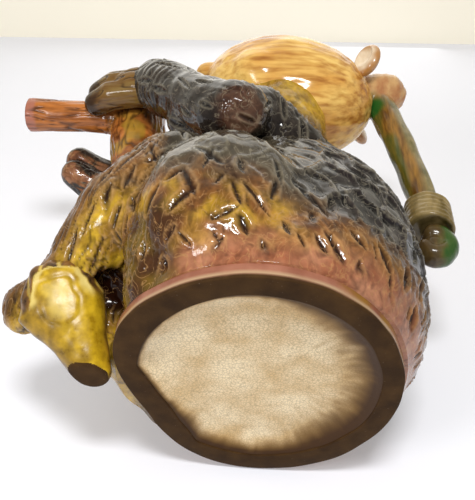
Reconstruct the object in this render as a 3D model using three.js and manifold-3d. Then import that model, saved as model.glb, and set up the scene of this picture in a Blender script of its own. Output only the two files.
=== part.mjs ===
// Glazed earthenware jug in the shape of a seated bear, ankles crossed, holding a lopped branch.
// Millimetres, +Z up. The bear faces -Y and its left side is +X. Each moulded piece is one closed solid,
// and a thin gap stands for the layer of slip that joins a piece to its neighbour.
import * as THREE from 'three';
import { mergeVertices } from 'three/addons/utils/BufferGeometryUtils.js';
import Module from 'manifold-3d';

const wasm = await Module();
wasm.setup();

// Slip joints and walls
const SLIP_GAP = 0.3;
const WALL = 5;

// Foot ring and the recessed bat inside it
const RING_WIDTH = 114;
const RING_LENGTH = 100;
const RING_HEIGHT = 6;
const RING_SKEW = 6;
const RING_FLAT = 2.5;
const FRONT_LAND = 8;
const BACK_LAND = 7.5;
const LEFT_LAND = 8.5;
const RIGHT_LAND = 10.5;
const BORE_CUT_DISTANCE = 36;
const BORE_CUT_TURN = 249;
const BAT_RECESS = 3.5;
const BAT_THICKNESS = 5;

// Body: widths, depths and offsets to the back at four heights
const BODY_OVERHANG = 1.5;
const BODY_FLARE_SHARE = 0.65;
const FUR_DEPTH = 1.4;
const FUR_TUFTS = 20;
const FUR_ROW_HEIGHT = 15;
const BELLY_HEIGHT = 45;
const BELLY_WIDTH = 110;
const BELLY_DEPTH = 106;
const BELLY_BACK = 10;
const CHEST_HEIGHT = 98;
const CHEST_WIDTH = 84;
const CHEST_DEPTH = 90;
const CHEST_BACK = 9;
const SHOULDER_HEIGHT = 132;
const SHOULDER_WIDTH = 74;
const SHOULDER_DEPTH = 60;
const SHOULDER_BACK = 1;
const NECK_HEIGHT = 168;
const NECK_WIDTH = 52;
const NECK_DEPTH = 50;
const NECK_BACK = 4;

// Haunches, shins and feet
const HAUNCH_SPREAD = 102;
const HAUNCH_FORWARD = 14;
const HAUNCH_HEIGHT = 46;
const HAUNCH_THICKNESS = 30;
const HAUNCH_LENGTH = 68;
const HAUNCH_TALLNESS = 74;
const THIGH_SPREAD = 80;
const THIGH_FORWARD = 35;
const THIGH_HEIGHT = 41;
const THIGH_THICKNESS = 34;
const THIGH_LENGTH = 36;
const THIGH_TALLNESS = 66;
const KNEE_SPREAD = 62;
const KNEE_FORWARD = 36;
const KNEE_HEIGHT = 76;
const KNEE_DIAMETER = 37;
const SHIN_DIAMETER = 39;
const SHIN_BOW = 8;
const ANKLE_DIAMETER = 26;
const LEFT_ANKLE_X = 9;
const LEFT_ANKLE_CLEARANCE = 27;
const LEFT_ANKLE_HEIGHT = 31;
const RIGHT_ANKLE_X = -7;
const RIGHT_ANKLE_CLEARANCE = 13;
const RIGHT_ANKLE_HEIGHT = 20;
const FOOT_WIDTH = 29;
const FOOT_THICKNESS = 17;
const HEEL_WIDTH = 20;
const LEFT_FOOT_LENGTH = 14;
const RIGHT_FOOT_LENGTH = 26;

// Arms and forepaws
const SHOULDER_DROP = 17;
const UPPER_ARM_DIAMETER = 31;
const ELBOW_SPREAD = 91;
const ELBOW_FORWARD = 18;
const ELBOW_HEIGHT = 99;
const ELBOW_DIAMETER = 25;
const CUFF_DIAMETER = 24;
const PAW_WIDTH = 22;
const PAW_THICKNESS = 17;
const LEFT_PAW_LENGTH = 31;
const RIGHT_PAW_LENGTH = 30;
const PAW_GRIP = 3;

// Branch: a leaning stem with one straight limb
const LIMB_DIAMETER = 16;
const LIMB_LENGTH = 50;
const LIMB_HEIGHT = 153;
const LIMB_LEFT = 4;
const STEM_DIAMETER = 24;
const STEM_LENGTH = 48;
const STEM_FORWARD = 68;
const STEM_LEAN = 10;

// Head, tilted back by an angle in degrees
const HEAD_WIDTH = 64;
const HEAD_LENGTH = 91;
const HEAD_TALLNESS = 66;
const HEAD_BACK = 6.5;
const HEAD_RISE = 15;
const HEAD_TILT = 12;
const MOUTH_WIDTH = 24;
const MOUTH_HEIGHT = 16;
const MUZZLE_WIDTH = 30;
const MUZZLE_LENGTH = 36;
const MUZZLE_HEIGHT = 22;
const JAW_WIDTH = 27;
const JAW_LENGTH = 34;
const JAW_HEIGHT = 18;
const NOSE_WIDTH = 13;
const EYE_DIAMETER = 8;
const EAR_WIDTH = 22;
const EAR_HEIGHT = 24;
const EAR_THICKNESS = 7;
const EAR_TURN = 45;
const EAR_LEAN = 28;

// Places on the head, as shares of its half width to the left, half length forward and half height up
const MUZZLE_PLACE = [0, 0.76, -0.03];
const JAW_PLACE = [0, 0.74, -0.64];
const NOSE_PLACE = [0, 1.06, 0.14];
const EYE_PLACE = [0.46, 0.53, 0.64];
const EAR_PLACE = [0.74, -0.77, 0.4];
const THROAT_PLACE = [0, 0.3, -0.33];
const LIPS_PLACE = [0, 1.5, -0.33];
const HANDLE_ROOT_PLACE = [0, -0.75, 0.1];
const HANDLE_KNOB_PLACE = [0, -1.13, 0.42];

// Handle, its binding and its curled end
const HANDLE_DIAMETER = 13.5;
const HANDLE_KNOB = 19;
// Two stops of the handle, as shares of its drop and of its lean to the back
const HANDLE_UPPER_STOP = [0.22, -0.1];
const HANDLE_LOWER_STOP = [0.6, 0.54];
const BINDING_HEIGHT = 92;
const BINDING_DIAMETER = 21;
const BINDING_LENGTH = 15;
const BINDING_RINGS = 6;
const SCROLL_DIAMETER = 22;
const SCROLL_THICKNESS = 9;
const SCROLL_BITE = 1;
const SCROLL_TURN = 235;

// Mesh fineness
const RING_SIDES = 60;
const BODY_MESH = { sides: 80, rowsPerSection: 11 };
const CAVITY_MESH = { sides: 40, rowsPerSection: 4 };
const LIMB_SIDES = 14;
const THIN_SIDES = 10;

const LEFTWARD = new THREE.Vector3(1, 0, 0);

function point(x, y, z) {
  return new THREE.Vector3(x, y, z);
}

function radians(degrees) {
  return THREE.MathUtils.degToRad(degrees);
}

// Closed mesh to a solid that can be joined and cut
function toSolid(geometry) {
  const bare = geometry.clone();
  bare.deleteAttribute('normal');
  bare.deleteAttribute('uv');
  const merged = mergeVertices(bare, 1e-4);
  const corners = merged.index.array;
  const triangles = [];
  for (let first = 0; first < corners.length; first += 3) {
    const [a, b, c] = corners.slice(first, first + 3);
    if (a !== b && b !== c && c !== a) triangles.push(a, b, c);
  }
  return new wasm.Manifold(new wasm.Mesh({
    numProp: 3,
    vertProperties: new Float32Array(merged.attributes.position.array),
    triVerts: new Uint32Array(triangles),
  }));
}

function toGeometry(solid) {
  const mesh = solid.getMesh();
  const geometry = new THREE.BufferGeometry();
  geometry.setAttribute('position', new THREE.BufferAttribute(new Float32Array(mesh.vertProperties), 3));
  geometry.setIndex(new THREE.BufferAttribute(new Uint32Array(mesh.triVerts), 1));
  geometry.computeVertexNormals();
  return geometry;
}

function cut(solid, cutters) {
  return cutters.reduce((rest, cutter) => rest.subtract(cutter), solid);
}

// A sphere whose rows are laid on the given rings, with a pole at each end.
function skin(rings, startPole, endPole) {
  const sides = rings[0].length;
  const geometry = new THREE.SphereGeometry(1, sides, rings.length + 1);
  const position = geometry.attributes.position;
  for (let row = 0; row <= rings.length + 1; row += 1) {
    for (let side = 0; side <= sides; side += 1) {
      let place = startPole;
      if (row > rings.length) place = endPole;
      else if (row > 0) place = rings[row - 1][side % sides];
      position.setXYZ(row * (sides + 1) + side, place.x, place.y, place.z);
    }
  }
  return toSolid(geometry);
}

// A ring of points round a centre; first and second are its two half axes, as vectors.
function ringOf(centre, first, second, sides) {
  return Array.from({ length: sides }, (_, side) => {
    const angle = (side / sides) * 2 * Math.PI;
    return centre.clone().addScaledVector(first, -Math.cos(angle)).addScaledVector(second, Math.sin(angle));
  });
}

// A place on a limb's spine, with the half axes of the limb there.
function station(at, radius, secondRadius = radius) {
  return { at, radii: [radius, secondRadius] };
}

// A limb with round ends along a spine of stations. The first half axis lies along "flat".
function limb(spine, { grow = 0, flat = LEFTWARD, sides = LIMB_SIDES, steps = 8, capRows = 3 } = {}) {
  const curve = new THREE.CatmullRomCurve3(spine.map((stop) => stop.at), false, 'centripetal');
  const last = spine.length - 1;
  const radiiAt = (share) => {
    const low = Math.min(Math.floor(share * last), last - 1);
    const mix = THREE.MathUtils.smoothstep(share * last - low, 0, 1);
    const mixed = (k) => THREE.MathUtils.lerp(spine[low].radii[k], spine[low + 1].radii[k], mix) + grow;
    return [mixed(0), mixed(1)];
  };
  const ringAt = (share, shift, shrink) => {
    const tangent = curve.getTangent(share);
    const first = flat.clone().addScaledVector(tangent, -flat.dot(tangent)).normalize();
    const second = tangent.clone().cross(first);
    const [a, b] = radiiAt(share);
    const centre = curve.getPoint(share).addScaledVector(tangent, shift * Math.min(a, b));
    return ringOf(centre, first.multiplyScalar(a * shrink), second.multiplyScalar(b * shrink), sides);
  };
  const rings = [];
  for (let row = 1; row < capRows; row += 1) {
    const angle = (row / capRows) * (Math.PI / 2);
    rings.push(ringAt(0, -Math.cos(angle), Math.sin(angle)));
  }
  for (let step = 0; step <= steps; step += 1) rings.push(ringAt(step / steps, 0, 1));
  for (let row = capRows - 1; row > 0; row -= 1) {
    const angle = (row / capRows) * (Math.PI / 2);
    rings.push(ringAt(1, Math.cos(angle), Math.sin(angle)));
  }
  const pole = (share, way) => {
    const reach = way * Math.min(...radiiAt(share));
    return curve.getPoint(share).addScaledVector(curve.getTangent(share), reach);
  };
  return skin(rings, pole(0, -1), pole(1, 1));
}

// An ellipsoid of the given full sizes, turned and placed.
function ellipsoid(centre, size, { grow = 0, turn = new THREE.Matrix4(), sides = 18, rows = 12 } = {}) {
  const geometry = new THREE.SphereGeometry(1, sides, rows);
  geometry.rotateX(Math.PI / 2);
  geometry.scale(size.x / 2 + grow, size.y / 2 + grow, size.z / 2 + grow);
  geometry.applyMatrix4(turn);
  geometry.translate(centre.x, centre.y, centre.z);
  return toSolid(geometry);
}

// Outline of the hand-trimmed foot: an ellipse whose front leans to the bear's left and is a little flat.
function footOutline(angle, grow) {
  const cosine = Math.cos(angle);
  const sine = Math.sin(angle);
  const ellipse = 1 / Math.hypot(cosine / (RING_WIDTH / 2), sine / (RING_LENGTH / 2));
  const front = sine < 0 ? sine * sine : 0;
  const radius = ellipse + grow - front * (RING_SKEW * Math.sin(2 * angle) + RING_FLAT);
  return point(radius * cosine, radius * sine, 0);
}

// Bore of the ring: an ellipse with one straight knife cut at the front
function boreOutline(angle, grow) {
  const halfWidth = (RING_WIDTH - LEFT_LAND - RIGHT_LAND) / 2 + grow;
  const halfLength = (RING_LENGTH - FRONT_LAND - BACK_LAND) / 2 + grow;
  const ellipse = 1 / Math.hypot(Math.cos(angle) / halfWidth, Math.sin(angle) / halfLength);
  const facing = Math.cos(angle - radians(BORE_CUT_TURN));
  const radius = facing > 0 ? Math.min(ellipse, (BORE_CUT_DISTANCE + grow) / facing) : ellipse;
  const centre = point((RIGHT_LAND - LEFT_LAND) / 2, (FRONT_LAND - BACK_LAND) / 2, 0);
  return centre.add(point(radius * Math.cos(angle), radius * Math.sin(angle), 0));
}

function slab(outline, grow, bottom, height) {
  const corners = Array.from({ length: RING_SIDES }, (_, side) => {
    const place = outline((side / RING_SIDES) * 2 * Math.PI, grow);
    return new THREE.Vector2(place.x, place.y);
  });
  const shape = new THREE.Shape(corners);
  const geometry = new THREE.ExtrudeGeometry(shape, { depth: height, bevelEnabled: false });
  geometry.translate(0, 0, bottom);
  return toSolid(geometry);
}

function footRing() {
  const bore = slab(boreOutline, 0, -RING_HEIGHT, 3 * RING_HEIGHT);
  return slab(footOutline, 0, 0, RING_HEIGHT).subtract(bore);
}

function baseBat() {
  return slab(boreOutline, -SLIP_GAP, BAT_RECESS, BAT_THICKNESS);
}

// Body sections from the foot up to the neck: half width, half depth and offset to the back
const BODY_FOOT = RING_HEIGHT + SLIP_GAP;
const bodyHeights = [BODY_FOOT, BELLY_HEIGHT, CHEST_HEIGHT, SHOULDER_HEIGHT, NECK_HEIGHT];
const bodySections = new THREE.CatmullRomCurve3([
  point(RING_WIDTH / 2 + BODY_OVERHANG, RING_LENGTH / 2 + BODY_OVERHANG, 0),
  point(BELLY_WIDTH / 2, BELLY_DEPTH / 2, BELLY_BACK),
  point(CHEST_WIDTH / 2, CHEST_DEPTH / 2, CHEST_BACK),
  point(SHOULDER_WIDTH / 2, SHOULDER_DEPTH / 2, SHOULDER_BACK),
  point(NECK_WIDTH / 2, NECK_DEPTH / 2, NECK_BACK),
]);
const bodySpans = bodyHeights.length - 1;

// How far along the sections a height lies, counted in sections
function alongBody(height) {
  const low = Math.max(bodyHeights.findLastIndex((level) => level <= height), 0);
  const span = Math.min(low, bodySpans - 1);
  return span + (height - bodyHeights[span]) / (bodyHeights[span + 1] - bodyHeights[span]);
}

function bodyBack(height) {
  const section = bodySections.getPoint(alongBody(height) / bodySpans);
  return section.z + section.y;
}

// Depth of the hollows between tufts of fur, which lie in staggered rows round the body
function furDepth(angle, height) {
  const round = (angle * FUR_TUFTS) / 2;
  const up = (height * Math.PI) / FUR_ROW_HEIGHT;
  return (FUR_DEPTH / 2) * (1 - Math.sin(round + up) * Math.sin(round - up));
}

// The full body, grown or shrunk by an offset; "reach" lengthens it past its foot and its neck.
function bodySolid({ grow = 0, reach = 0, fur = 0, mesh = BODY_MESH } = {}) {
  const { sides, rowsPerSection } = mesh;
  const rows = bodySpans * rowsPerSection;
  const rings = Array.from({ length: rows + 1 }, (_, row) => {
    const along = row / rowsPerSection;
    const low = Math.min(Math.floor(along), bodySpans - 1);
    const height = THREE.MathUtils.lerp(bodyHeights[low], bodyHeights[low + 1], along - low);
    const past = row === 0 ? -reach : row === rows ? reach : 0;
    const section = bodySections.getPoint(along / bodySpans);
    const footShare = 1 - THREE.MathUtils.smoothstep(along, 0, BODY_FLARE_SHARE);
    return Array.from({ length: sides }, (unused, side) => {
      const angle = Math.PI - (side / sides) * 2 * Math.PI;
      const offset = grow - fur * (1 - footShare) * furDepth(angle, height);
      const x = Math.cos(angle) * (section.x + offset);
      const y = Math.sin(angle) * (section.y + offset) + section.z;
      return point(x, y, 0).lerp(footOutline(angle, BODY_OVERHANG + grow), footShare).setZ(height + past);
    });
  });
  return skin(rings, point(0, 0, rings[0][0].z), point(0, NECK_BACK, rings[rows][0].z));
}

function bodyVessel() {
  const cavity = bodySolid({ grow: -WALL, reach: WALL, mesh: CAVITY_MESH });
  return bodySolid({ fur: 1 }).subtract(cavity);
}

// Legs
const leftKnee = point(KNEE_SPREAD / 2, -KNEE_FORWARD, KNEE_HEIGHT);
const rightKnee = point(-KNEE_SPREAD / 2, -KNEE_FORWARD, KNEE_HEIGHT);
const leftAnkle = point(LEFT_ANKLE_X, -RING_LENGTH / 2 - LEFT_ANKLE_CLEARANCE, LEFT_ANKLE_HEIGHT);
const rightAnkle = point(RIGHT_ANKLE_X, -RING_LENGTH / 2 - RIGHT_ANKLE_CLEARANCE, RIGHT_ANKLE_HEIGHT);
const leftFootWay = point(-0.45, -0.85, -0.25).normalize();
const rightFootWay = point(0.52, -0.45, 0.73).normalize();
const rightSoleWay = point(0.85, 0.18, -0.5).normalize();

// The haunch runs forward into a rounded thigh that fills the hollow behind the shin.
function haunch(side, grow = 0) {
  const centre = point((side * HAUNCH_SPREAD) / 2, -HAUNCH_FORWARD, HAUNCH_HEIGHT);
  const thigh = point((side * THIGH_SPREAD) / 2, -THIGH_FORWARD, THIGH_HEIGHT);
  const hip = ellipsoid(centre, point(HAUNCH_THICKNESS, HAUNCH_LENGTH, HAUNCH_TALLNESS), { grow });
  return hip.add(ellipsoid(thigh, point(THIGH_THICKNESS, THIGH_LENGTH, THIGH_TALLNESS), { grow }));
}

function shin(knee, ankle, grow = 0) {
  const calf = knee.clone().lerp(ankle, 0.5);
  calf.x += Math.sign(knee.x) * SHIN_BOW;
  const spine = [
    station(knee, KNEE_DIAMETER / 2),
    station(calf, SHIN_DIAMETER / 2),
    station(ankle, ANKLE_DIAMETER / 2),
  ];
  return limb(spine, { grow });
}

// The left foot hangs forward past the right one.
function leftFoot(grow = 0) {
  const toes = leftAnkle.clone().addScaledVector(leftFootWay, LEFT_FOOT_LENGTH);
  const halves = [FOOT_THICKNESS / 2, HEEL_WIDTH / 2];
  return limb([station(leftAnkle, ...halves), station(toes, ...halves)], { grow, steps: 3 });
}

// The right foot rests its heel on the ground and turns its sole to the bear's left.
function rightFoot(grow = 0) {
  const heelLift = FOOT_THICKNESS / 3;
  const heel = point(rightAnkle.x + FOOT_THICKNESS / 2, rightAnkle.y + FOOT_THICKNESS / 4, heelLift);
  const toes = heel.clone().addScaledVector(rightFootWay, RIGHT_FOOT_LENGTH);
  const spine = [
    station(heel, FOOT_THICKNESS / 2, HEEL_WIDTH / 2),
    station(toes, FOOT_THICKNESS / 2, FOOT_WIDTH / 2),
  ];
  return limb(spine, { grow, flat: rightSoleWay, steps: 5 });
}

// Branch
const limbStart = point(LIMB_LEFT, -STEM_FORWARD, LIMB_HEIGHT);
const limbEnd = point(LIMB_LEFT, -STEM_FORWARD - LIMB_LENGTH, LIMB_HEIGHT);
const stemTop = point(0, -STEM_FORWARD, LIMB_HEIGHT + LIMB_DIAMETER / 2);
const stemFoot = point(0, STEM_LEAN - STEM_FORWARD, stemTop.z - STEM_LENGTH);

function branch(grow = 0) {
  const settings = { grow, capRows: 2, steps: 5 };
  const round = (start, end, diameter) =>
    limb([station(start, diameter / 2), station(end, diameter / 2)], settings);
  return round(stemFoot, stemTop, STEM_DIAMETER).add(round(limbStart, limbEnd, LIMB_DIAMETER));
}

// Arms: each wrist lies against the branch, and its paw goes on along it.
const shoulderHeight = SHOULDER_HEIGHT - SHOULDER_DROP;
const limbSide = LIMB_LEFT + LIMB_DIAMETER / 2;
const stemSide = -STEM_DIAMETER / 2;
const pawReach = PAW_THICKNESS / 2 - PAW_GRIP;
const leftArm = {
  shoulder: point(SHOULDER_WIDTH / 2, SHOULDER_BACK, shoulderHeight),
  elbow: point(ELBOW_SPREAD / 2, -ELBOW_FORWARD, ELBOW_HEIGHT),
  wrist: point(limbSide + CUFF_DIAMETER / 2, STEM_DIAMETER / 2 - STEM_FORWARD, LIMB_HEIGHT),
};
const rightArm = {
  shoulder: point(-SHOULDER_WIDTH / 2, SHOULDER_BACK, shoulderHeight),
  elbow: point(-ELBOW_SPREAD / 2, -ELBOW_FORWARD, ELBOW_HEIGHT),
  wrist: point(stemSide - CUFF_DIAMETER / 2, -STEM_FORWARD, LIMB_HEIGHT - STEM_LENGTH / 2),
};
const rightPawHeight = rightArm.wrist.z + PAW_WIDTH / 3;
const leftPawTip = point(limbSide + pawReach, leftArm.wrist.y - LEFT_PAW_LENGTH, LIMB_HEIGHT);
const rightPawTip = point(stemSide - pawReach, rightArm.wrist.y - RIGHT_PAW_LENGTH, rightPawHeight);

function arm(joints, grow = 0) {
  const spine = [
    station(joints.shoulder, UPPER_ARM_DIAMETER / 2),
    station(joints.elbow, ELBOW_DIAMETER / 2),
    station(joints.wrist, CUFF_DIAMETER / 2),
  ];
  return limb(spine, { grow, steps: 11 });
}

function forepaw(joints, tip) {
  const halves = [PAW_THICKNESS / 2, PAW_WIDTH / 2];
  return limb([station(joints.wrist, ...halves), station(tip, ...halves)], { steps: 5 });
}

// Head
const headCentre = point(0, HEAD_BACK, NECK_HEIGHT + HEAD_RISE);
const headTurn = new THREE.Matrix4().makeRotationX(radians(-HEAD_TILT));
const headSize = point(HEAD_WIDTH, HEAD_LENGTH, HEAD_TALLNESS);

// A place on the head, on the bear's left (side 1) or right (side -1)
function onHead([left, forward, up], side = 1) {
  const half = headSize.clone().multiplyScalar(0.5);
  return point(side * left, -forward, up).multiply(half).applyMatrix4(headTurn).add(headCentre);
}

function head(grow = 0) {
  return ellipsoid(headCentre, headSize, { grow, turn: headTurn, sides: 28, rows: 18 });
}

function mouthBore() {
  const halves = [MOUTH_WIDTH / 2, MOUTH_HEIGHT / 2];
  const spine = [station(onHead(THROAT_PLACE), ...halves), station(onHead(LIPS_PLACE), ...halves)];
  return limb(spine, { steps: 4 });
}

function muzzle(grow = 0) {
  const size = point(MUZZLE_WIDTH, MUZZLE_LENGTH, MUZZLE_HEIGHT);
  return ellipsoid(onHead(MUZZLE_PLACE), size, { grow, turn: headTurn });
}

function lowerJaw(grow = 0) {
  const size = point(JAW_WIDTH, JAW_LENGTH, JAW_HEIGHT);
  return ellipsoid(onHead(JAW_PLACE), size, { grow, turn: headTurn });
}

function nose() {
  const size = point(NOSE_WIDTH, NOSE_WIDTH * 0.7, NOSE_WIDTH * 0.7);
  return ellipsoid(onHead(NOSE_PLACE), size, { turn: headTurn, sides: 12, rows: 8 });
}

function eye(side) {
  const size = point(EYE_DIAMETER, EYE_DIAMETER, EYE_DIAMETER);
  return ellipsoid(onHead(EYE_PLACE, side), size, { sides: 10, rows: 8 });
}

function ear(side) {
  const turn = new THREE.Matrix4().makeRotationZ(side * radians(EAR_TURN));
  turn.premultiply(new THREE.Matrix4().makeRotationY(side * radians(EAR_LEAN))).premultiply(headTurn);
  const size = point(EAR_WIDTH, EAR_THICKNESS, EAR_HEIGHT);
  return ellipsoid(onHead(EAR_PLACE, side), size, { turn, sides: 14, rows: 10 });
}

// Handle: from the back of the head down to the binding
const bindingFoot = BINDING_HEIGHT - BINDING_LENGTH / 2;
const scrollHeight = bindingFoot - SCROLL_DIAMETER / 2 + SCROLL_BITE;
const handleBack = bodyBack(scrollHeight) + SCROLL_DIAMETER / 2 - SCROLL_BITE;
const handleFoot = point(0, handleBack, bindingFoot + HANDLE_DIAMETER / 2 + SCROLL_BITE);
const handleRoot = onHead(HANDLE_ROOT_PLACE);

function handle(grow = 0) {
  const radius = HANDLE_DIAMETER / 2;
  const knob = onHead(HANDLE_KNOB_PLACE);
  const drop = knob.z - handleFoot.z;
  const lean = handleFoot.y - knob.y;
  const onWay = (share, bow) => point(0, knob.y + lean * bow, knob.z - drop * share);
  const spine = [
    station(handleRoot, HANDLE_KNOB / 2),
    station(knob, HANDLE_KNOB / 2),
    station(onWay(...HANDLE_UPPER_STOP), radius),
    station(onWay(...HANDLE_LOWER_STOP), radius),
    station(handleFoot, radius),
  ];
  return limb(spine, { grow, steps: 18, sides: THIN_SIDES });
}

// Six wound rings round the lower end of the handle
function binding(grow = 0) {
  const pitch = BINDING_LENGTH / BINDING_RINGS;
  const crest = BINDING_DIAMETER / 2 + grow;
  const groove = crest - pitch / 3;
  const profile = [new THREE.Vector2(0, -grow), new THREE.Vector2(groove, -grow)];
  for (let ring = 0; ring < BINDING_RINGS; ring += 1) {
    profile.push(new THREE.Vector2(crest, (ring + 0.5) * pitch));
    profile.push(new THREE.Vector2(groove, (ring + 1) * pitch));
  }
  profile.push(new THREE.Vector2(0, BINDING_LENGTH));
  const geometry = new THREE.LatheGeometry(profile, LIMB_SIDES);
  geometry.rotateX(Math.PI / 2);
  geometry.translate(0, handleBack, bindingFoot);
  return toSolid(geometry);
}

// The curled end turns down and in, to the back of the body.
function scroll() {
  const radius = SCROLL_THICKNESS / 2;
  const curl = SCROLL_DIAMETER / 2 - radius;
  const stops = 6;
  const spine = Array.from({ length: stops }, (_, stop) => {
    const angle = Math.PI / 2 - radians((SCROLL_TURN * stop) / (stops - 1));
    const y = handleBack + curl * Math.cos(angle);
    return station(point(0, y, scrollHeight + curl * Math.sin(angle)), radius);
  });
  return limb(spine, { steps: 12, sides: THIN_SIDES, capRows: 2 });
}

// Everything below the plane that the jug stands on
function ground() {
  const geometry = new THREE.BoxGeometry(2 * RING_WIDTH, 4 * RING_LENGTH, RING_HEIGHT * 4);
  geometry.translate(0, 0, -RING_HEIGHT * 2);
  return toSolid(geometry);
}

// Neighbours grown by the slip gap, as cutters
const bodySeat = bodySolid({ grow: SLIP_GAP, reach: SLIP_GAP });
const headSeat = head(SLIP_GAP);
const branchSeat = branch(SLIP_GAP);
const leftHaunchSeat = haunch(1, SLIP_GAP);
const rightHaunchSeat = haunch(-1, SLIP_GAP);
const leftShinSeat = shin(leftKnee, leftAnkle, SLIP_GAP);
const rightShinSeat = shin(rightKnee, rightAnkle, SLIP_GAP);
const leftLegSeats = [leftHaunchSeat, leftShinSeat];
const rightLegSeats = [rightHaunchSeat, rightShinSeat];
const mouth = mouthBore();

const DARK_FUR = 0x4a4038;
const BROWN_FUR = 0x8a5a34;
const HONEY = 0xc98f45;
const YELLOW = 0xbfa23a;
const BARE_CLAY = 0x3d2f28;
const CREAM = 0xe4dccb;
const WOOD = 0xa8622f;
const OLIVE = 0x75713a;
const BLACK = 0x1d1815;
const GLOSSY = 0.15;
const MATT = 0.85;

const jug = new THREE.Group();

function addPiece(name, solid, color, roughness = GLOSSY) {
  const material = new THREE.MeshStandardMaterial({ color, roughness, metalness: 0 });
  const mesh = new THREE.Mesh(toGeometry(solid), material);
  mesh.name = name;
  jug.add(mesh);
}

addPiece('foot_ring', footRing(), BARE_CLAY, MATT);
addPiece('base_bat', baseBat(), CREAM);
addPiece('body_vessel', bodyVessel(), BROWN_FUR);
addPiece('left_haunch', cut(haunch(1), [bodySeat]), BROWN_FUR);
addPiece('right_haunch', cut(haunch(-1), [bodySeat]), BROWN_FUR);
addPiece('left_shin', cut(shin(leftKnee, leftAnkle), [bodySeat, leftHaunchSeat]), BROWN_FUR);
const rightShinSeats = [bodySeat, rightHaunchSeat, leftShinSeat];
addPiece('right_shin', cut(shin(rightKnee, rightAnkle), rightShinSeats), BROWN_FUR);
addPiece('left_foot', cut(leftFoot(), [leftShinSeat, rightShinSeat]), BROWN_FUR);
const footNeighbours = [bodySeat, leftShinSeat, rightShinSeat, leftFoot(SLIP_GAP), ground()];
addPiece('right_foot', cut(rightFoot(), footNeighbours), YELLOW);
addPiece('branch', cut(branch(), [leftShinSeat, rightShinSeat]), WOOD);
addPiece('left_arm', cut(arm(leftArm), [bodySeat, headSeat, branchSeat, ...leftLegSeats]), DARK_FUR);
addPiece('right_arm', cut(arm(rightArm), [bodySeat, headSeat, branchSeat, ...rightLegSeats]), DARK_FUR);
const leftPawSeats = [arm(leftArm, SLIP_GAP), branchSeat];
addPiece('left_forepaw', cut(forepaw(leftArm, leftPawTip), leftPawSeats), HONEY);
const rightPawSeats = [arm(rightArm, SLIP_GAP), branchSeat];
addPiece('right_forepaw', cut(forepaw(rightArm, rightPawTip), rightPawSeats), DARK_FUR);
addPiece('head_shell', cut(head(), [head(-WALL), bodySeat, mouth]), HONEY);
addPiece('muzzle', cut(muzzle(), [headSeat, mouth]), HONEY);
addPiece('lower_jaw', cut(lowerJaw(), [headSeat, bodySeat, mouth, muzzle(SLIP_GAP)]), HONEY);
addPiece('nose', cut(nose(), [headSeat, mouth, muzzle(SLIP_GAP)]), BLACK);
addPiece('left_eye', cut(eye(1), [headSeat]), BLACK);
addPiece('right_eye', cut(eye(-1), [headSeat]), BLACK);
addPiece('left_ear', cut(ear(1), [headSeat]), CREAM);
addPiece('right_ear', cut(ear(-1), [headSeat]), CREAM);
addPiece('handle', cut(handle(), [headSeat, bodySeat]), OLIVE);
addPiece('handle_binding', cut(binding(), [bodySeat, handle(SLIP_GAP)]), OLIVE);
addPiece('handle_scroll', cut(scroll(), [bodySeat, binding(SLIP_GAP)]), OLIVE);

// The origin is under the middle of the jug, on the plane that it stands on.
const box = new THREE.Box3().setFromObject(jug);
jug.position.set(-(box.min.x + box.max.x) / 2, -(box.min.y + box.max.y) / 2, -box.min.z);

export default jug;
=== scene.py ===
"""Bear jug in glazed earthenware: a seated bear with crossed ankles, a lopped branch and a twig handle.

Shapes are modelled in jug millimetres: the origin is on the ground in the middle of the foot ring, X is the
bear's left, -Y its front and Z up. Each finished mesh is then put into the frame of the CAD model.
"""
import math

import bmesh
import bpy
import numpy as np
from mathutils import Matrix, Vector, noise
from mathutils.kdtree import KDTree


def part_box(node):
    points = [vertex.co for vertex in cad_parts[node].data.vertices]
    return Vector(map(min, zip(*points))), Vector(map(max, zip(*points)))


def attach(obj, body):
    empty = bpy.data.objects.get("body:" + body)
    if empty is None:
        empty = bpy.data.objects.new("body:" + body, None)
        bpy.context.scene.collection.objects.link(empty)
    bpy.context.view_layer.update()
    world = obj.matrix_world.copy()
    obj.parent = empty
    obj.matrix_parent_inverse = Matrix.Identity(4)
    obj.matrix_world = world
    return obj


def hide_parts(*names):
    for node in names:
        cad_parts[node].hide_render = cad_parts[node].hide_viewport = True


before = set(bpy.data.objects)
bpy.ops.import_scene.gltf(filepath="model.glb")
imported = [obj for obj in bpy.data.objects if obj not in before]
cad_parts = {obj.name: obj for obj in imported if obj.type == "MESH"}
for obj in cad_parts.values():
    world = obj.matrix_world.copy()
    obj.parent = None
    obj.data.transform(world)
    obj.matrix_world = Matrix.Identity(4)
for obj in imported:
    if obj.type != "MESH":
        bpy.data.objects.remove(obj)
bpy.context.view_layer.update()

MM = 0.001
GLAZE_IOR = 1.55
# Angles of the rings that round off the end of a roll
ROUND_END_DEGREES = (25, 50, 75)

# Foot: the bare ring and the glazed dish in its bore, in millimetres as all sizes here
RING_WIDTH = 114
RING_LENGTH = 100
RING_HEIGHT = 6
RING_SKEW = 6
RING_FLAT = 2.5
RING_BEVEL = 0.5
RING_WOBBLE = 0.5
RING_LEVELS = (1, 2, 3.5, RING_HEIGHT)
BORE_CENTRE = Vector((1, 0.3, 0))
BORE_HALVES = (47.5, 42.3)
# A straight knife cut at the front of the bore: the way it faces and its distance from the bore's centre
BORE_CUT = (Vector((-0.36, -0.933, 0)), 36)
DISH_DEPTH = 4.2
DISH_FLAT = 0.72
DISH_CURVE = 2.2
DISH_EDGE = 0.6
BASE_LAP = 0.7
BASE_TOP = 8.5
FOOT_STEPS = 240
# Heights at which glaze begins on the side of the ring, and at which its pale lip ends
GLAZE_LINE = (1.1, 1.8)
LIP_LINE = (2, 2.8)
# How far the stain reaches into the dish: all round, more at the back and more at the right
STAIN_WIDTH = 1.5
STAIN_BACK = 15
STAIN_RIGHT = 6
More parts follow.
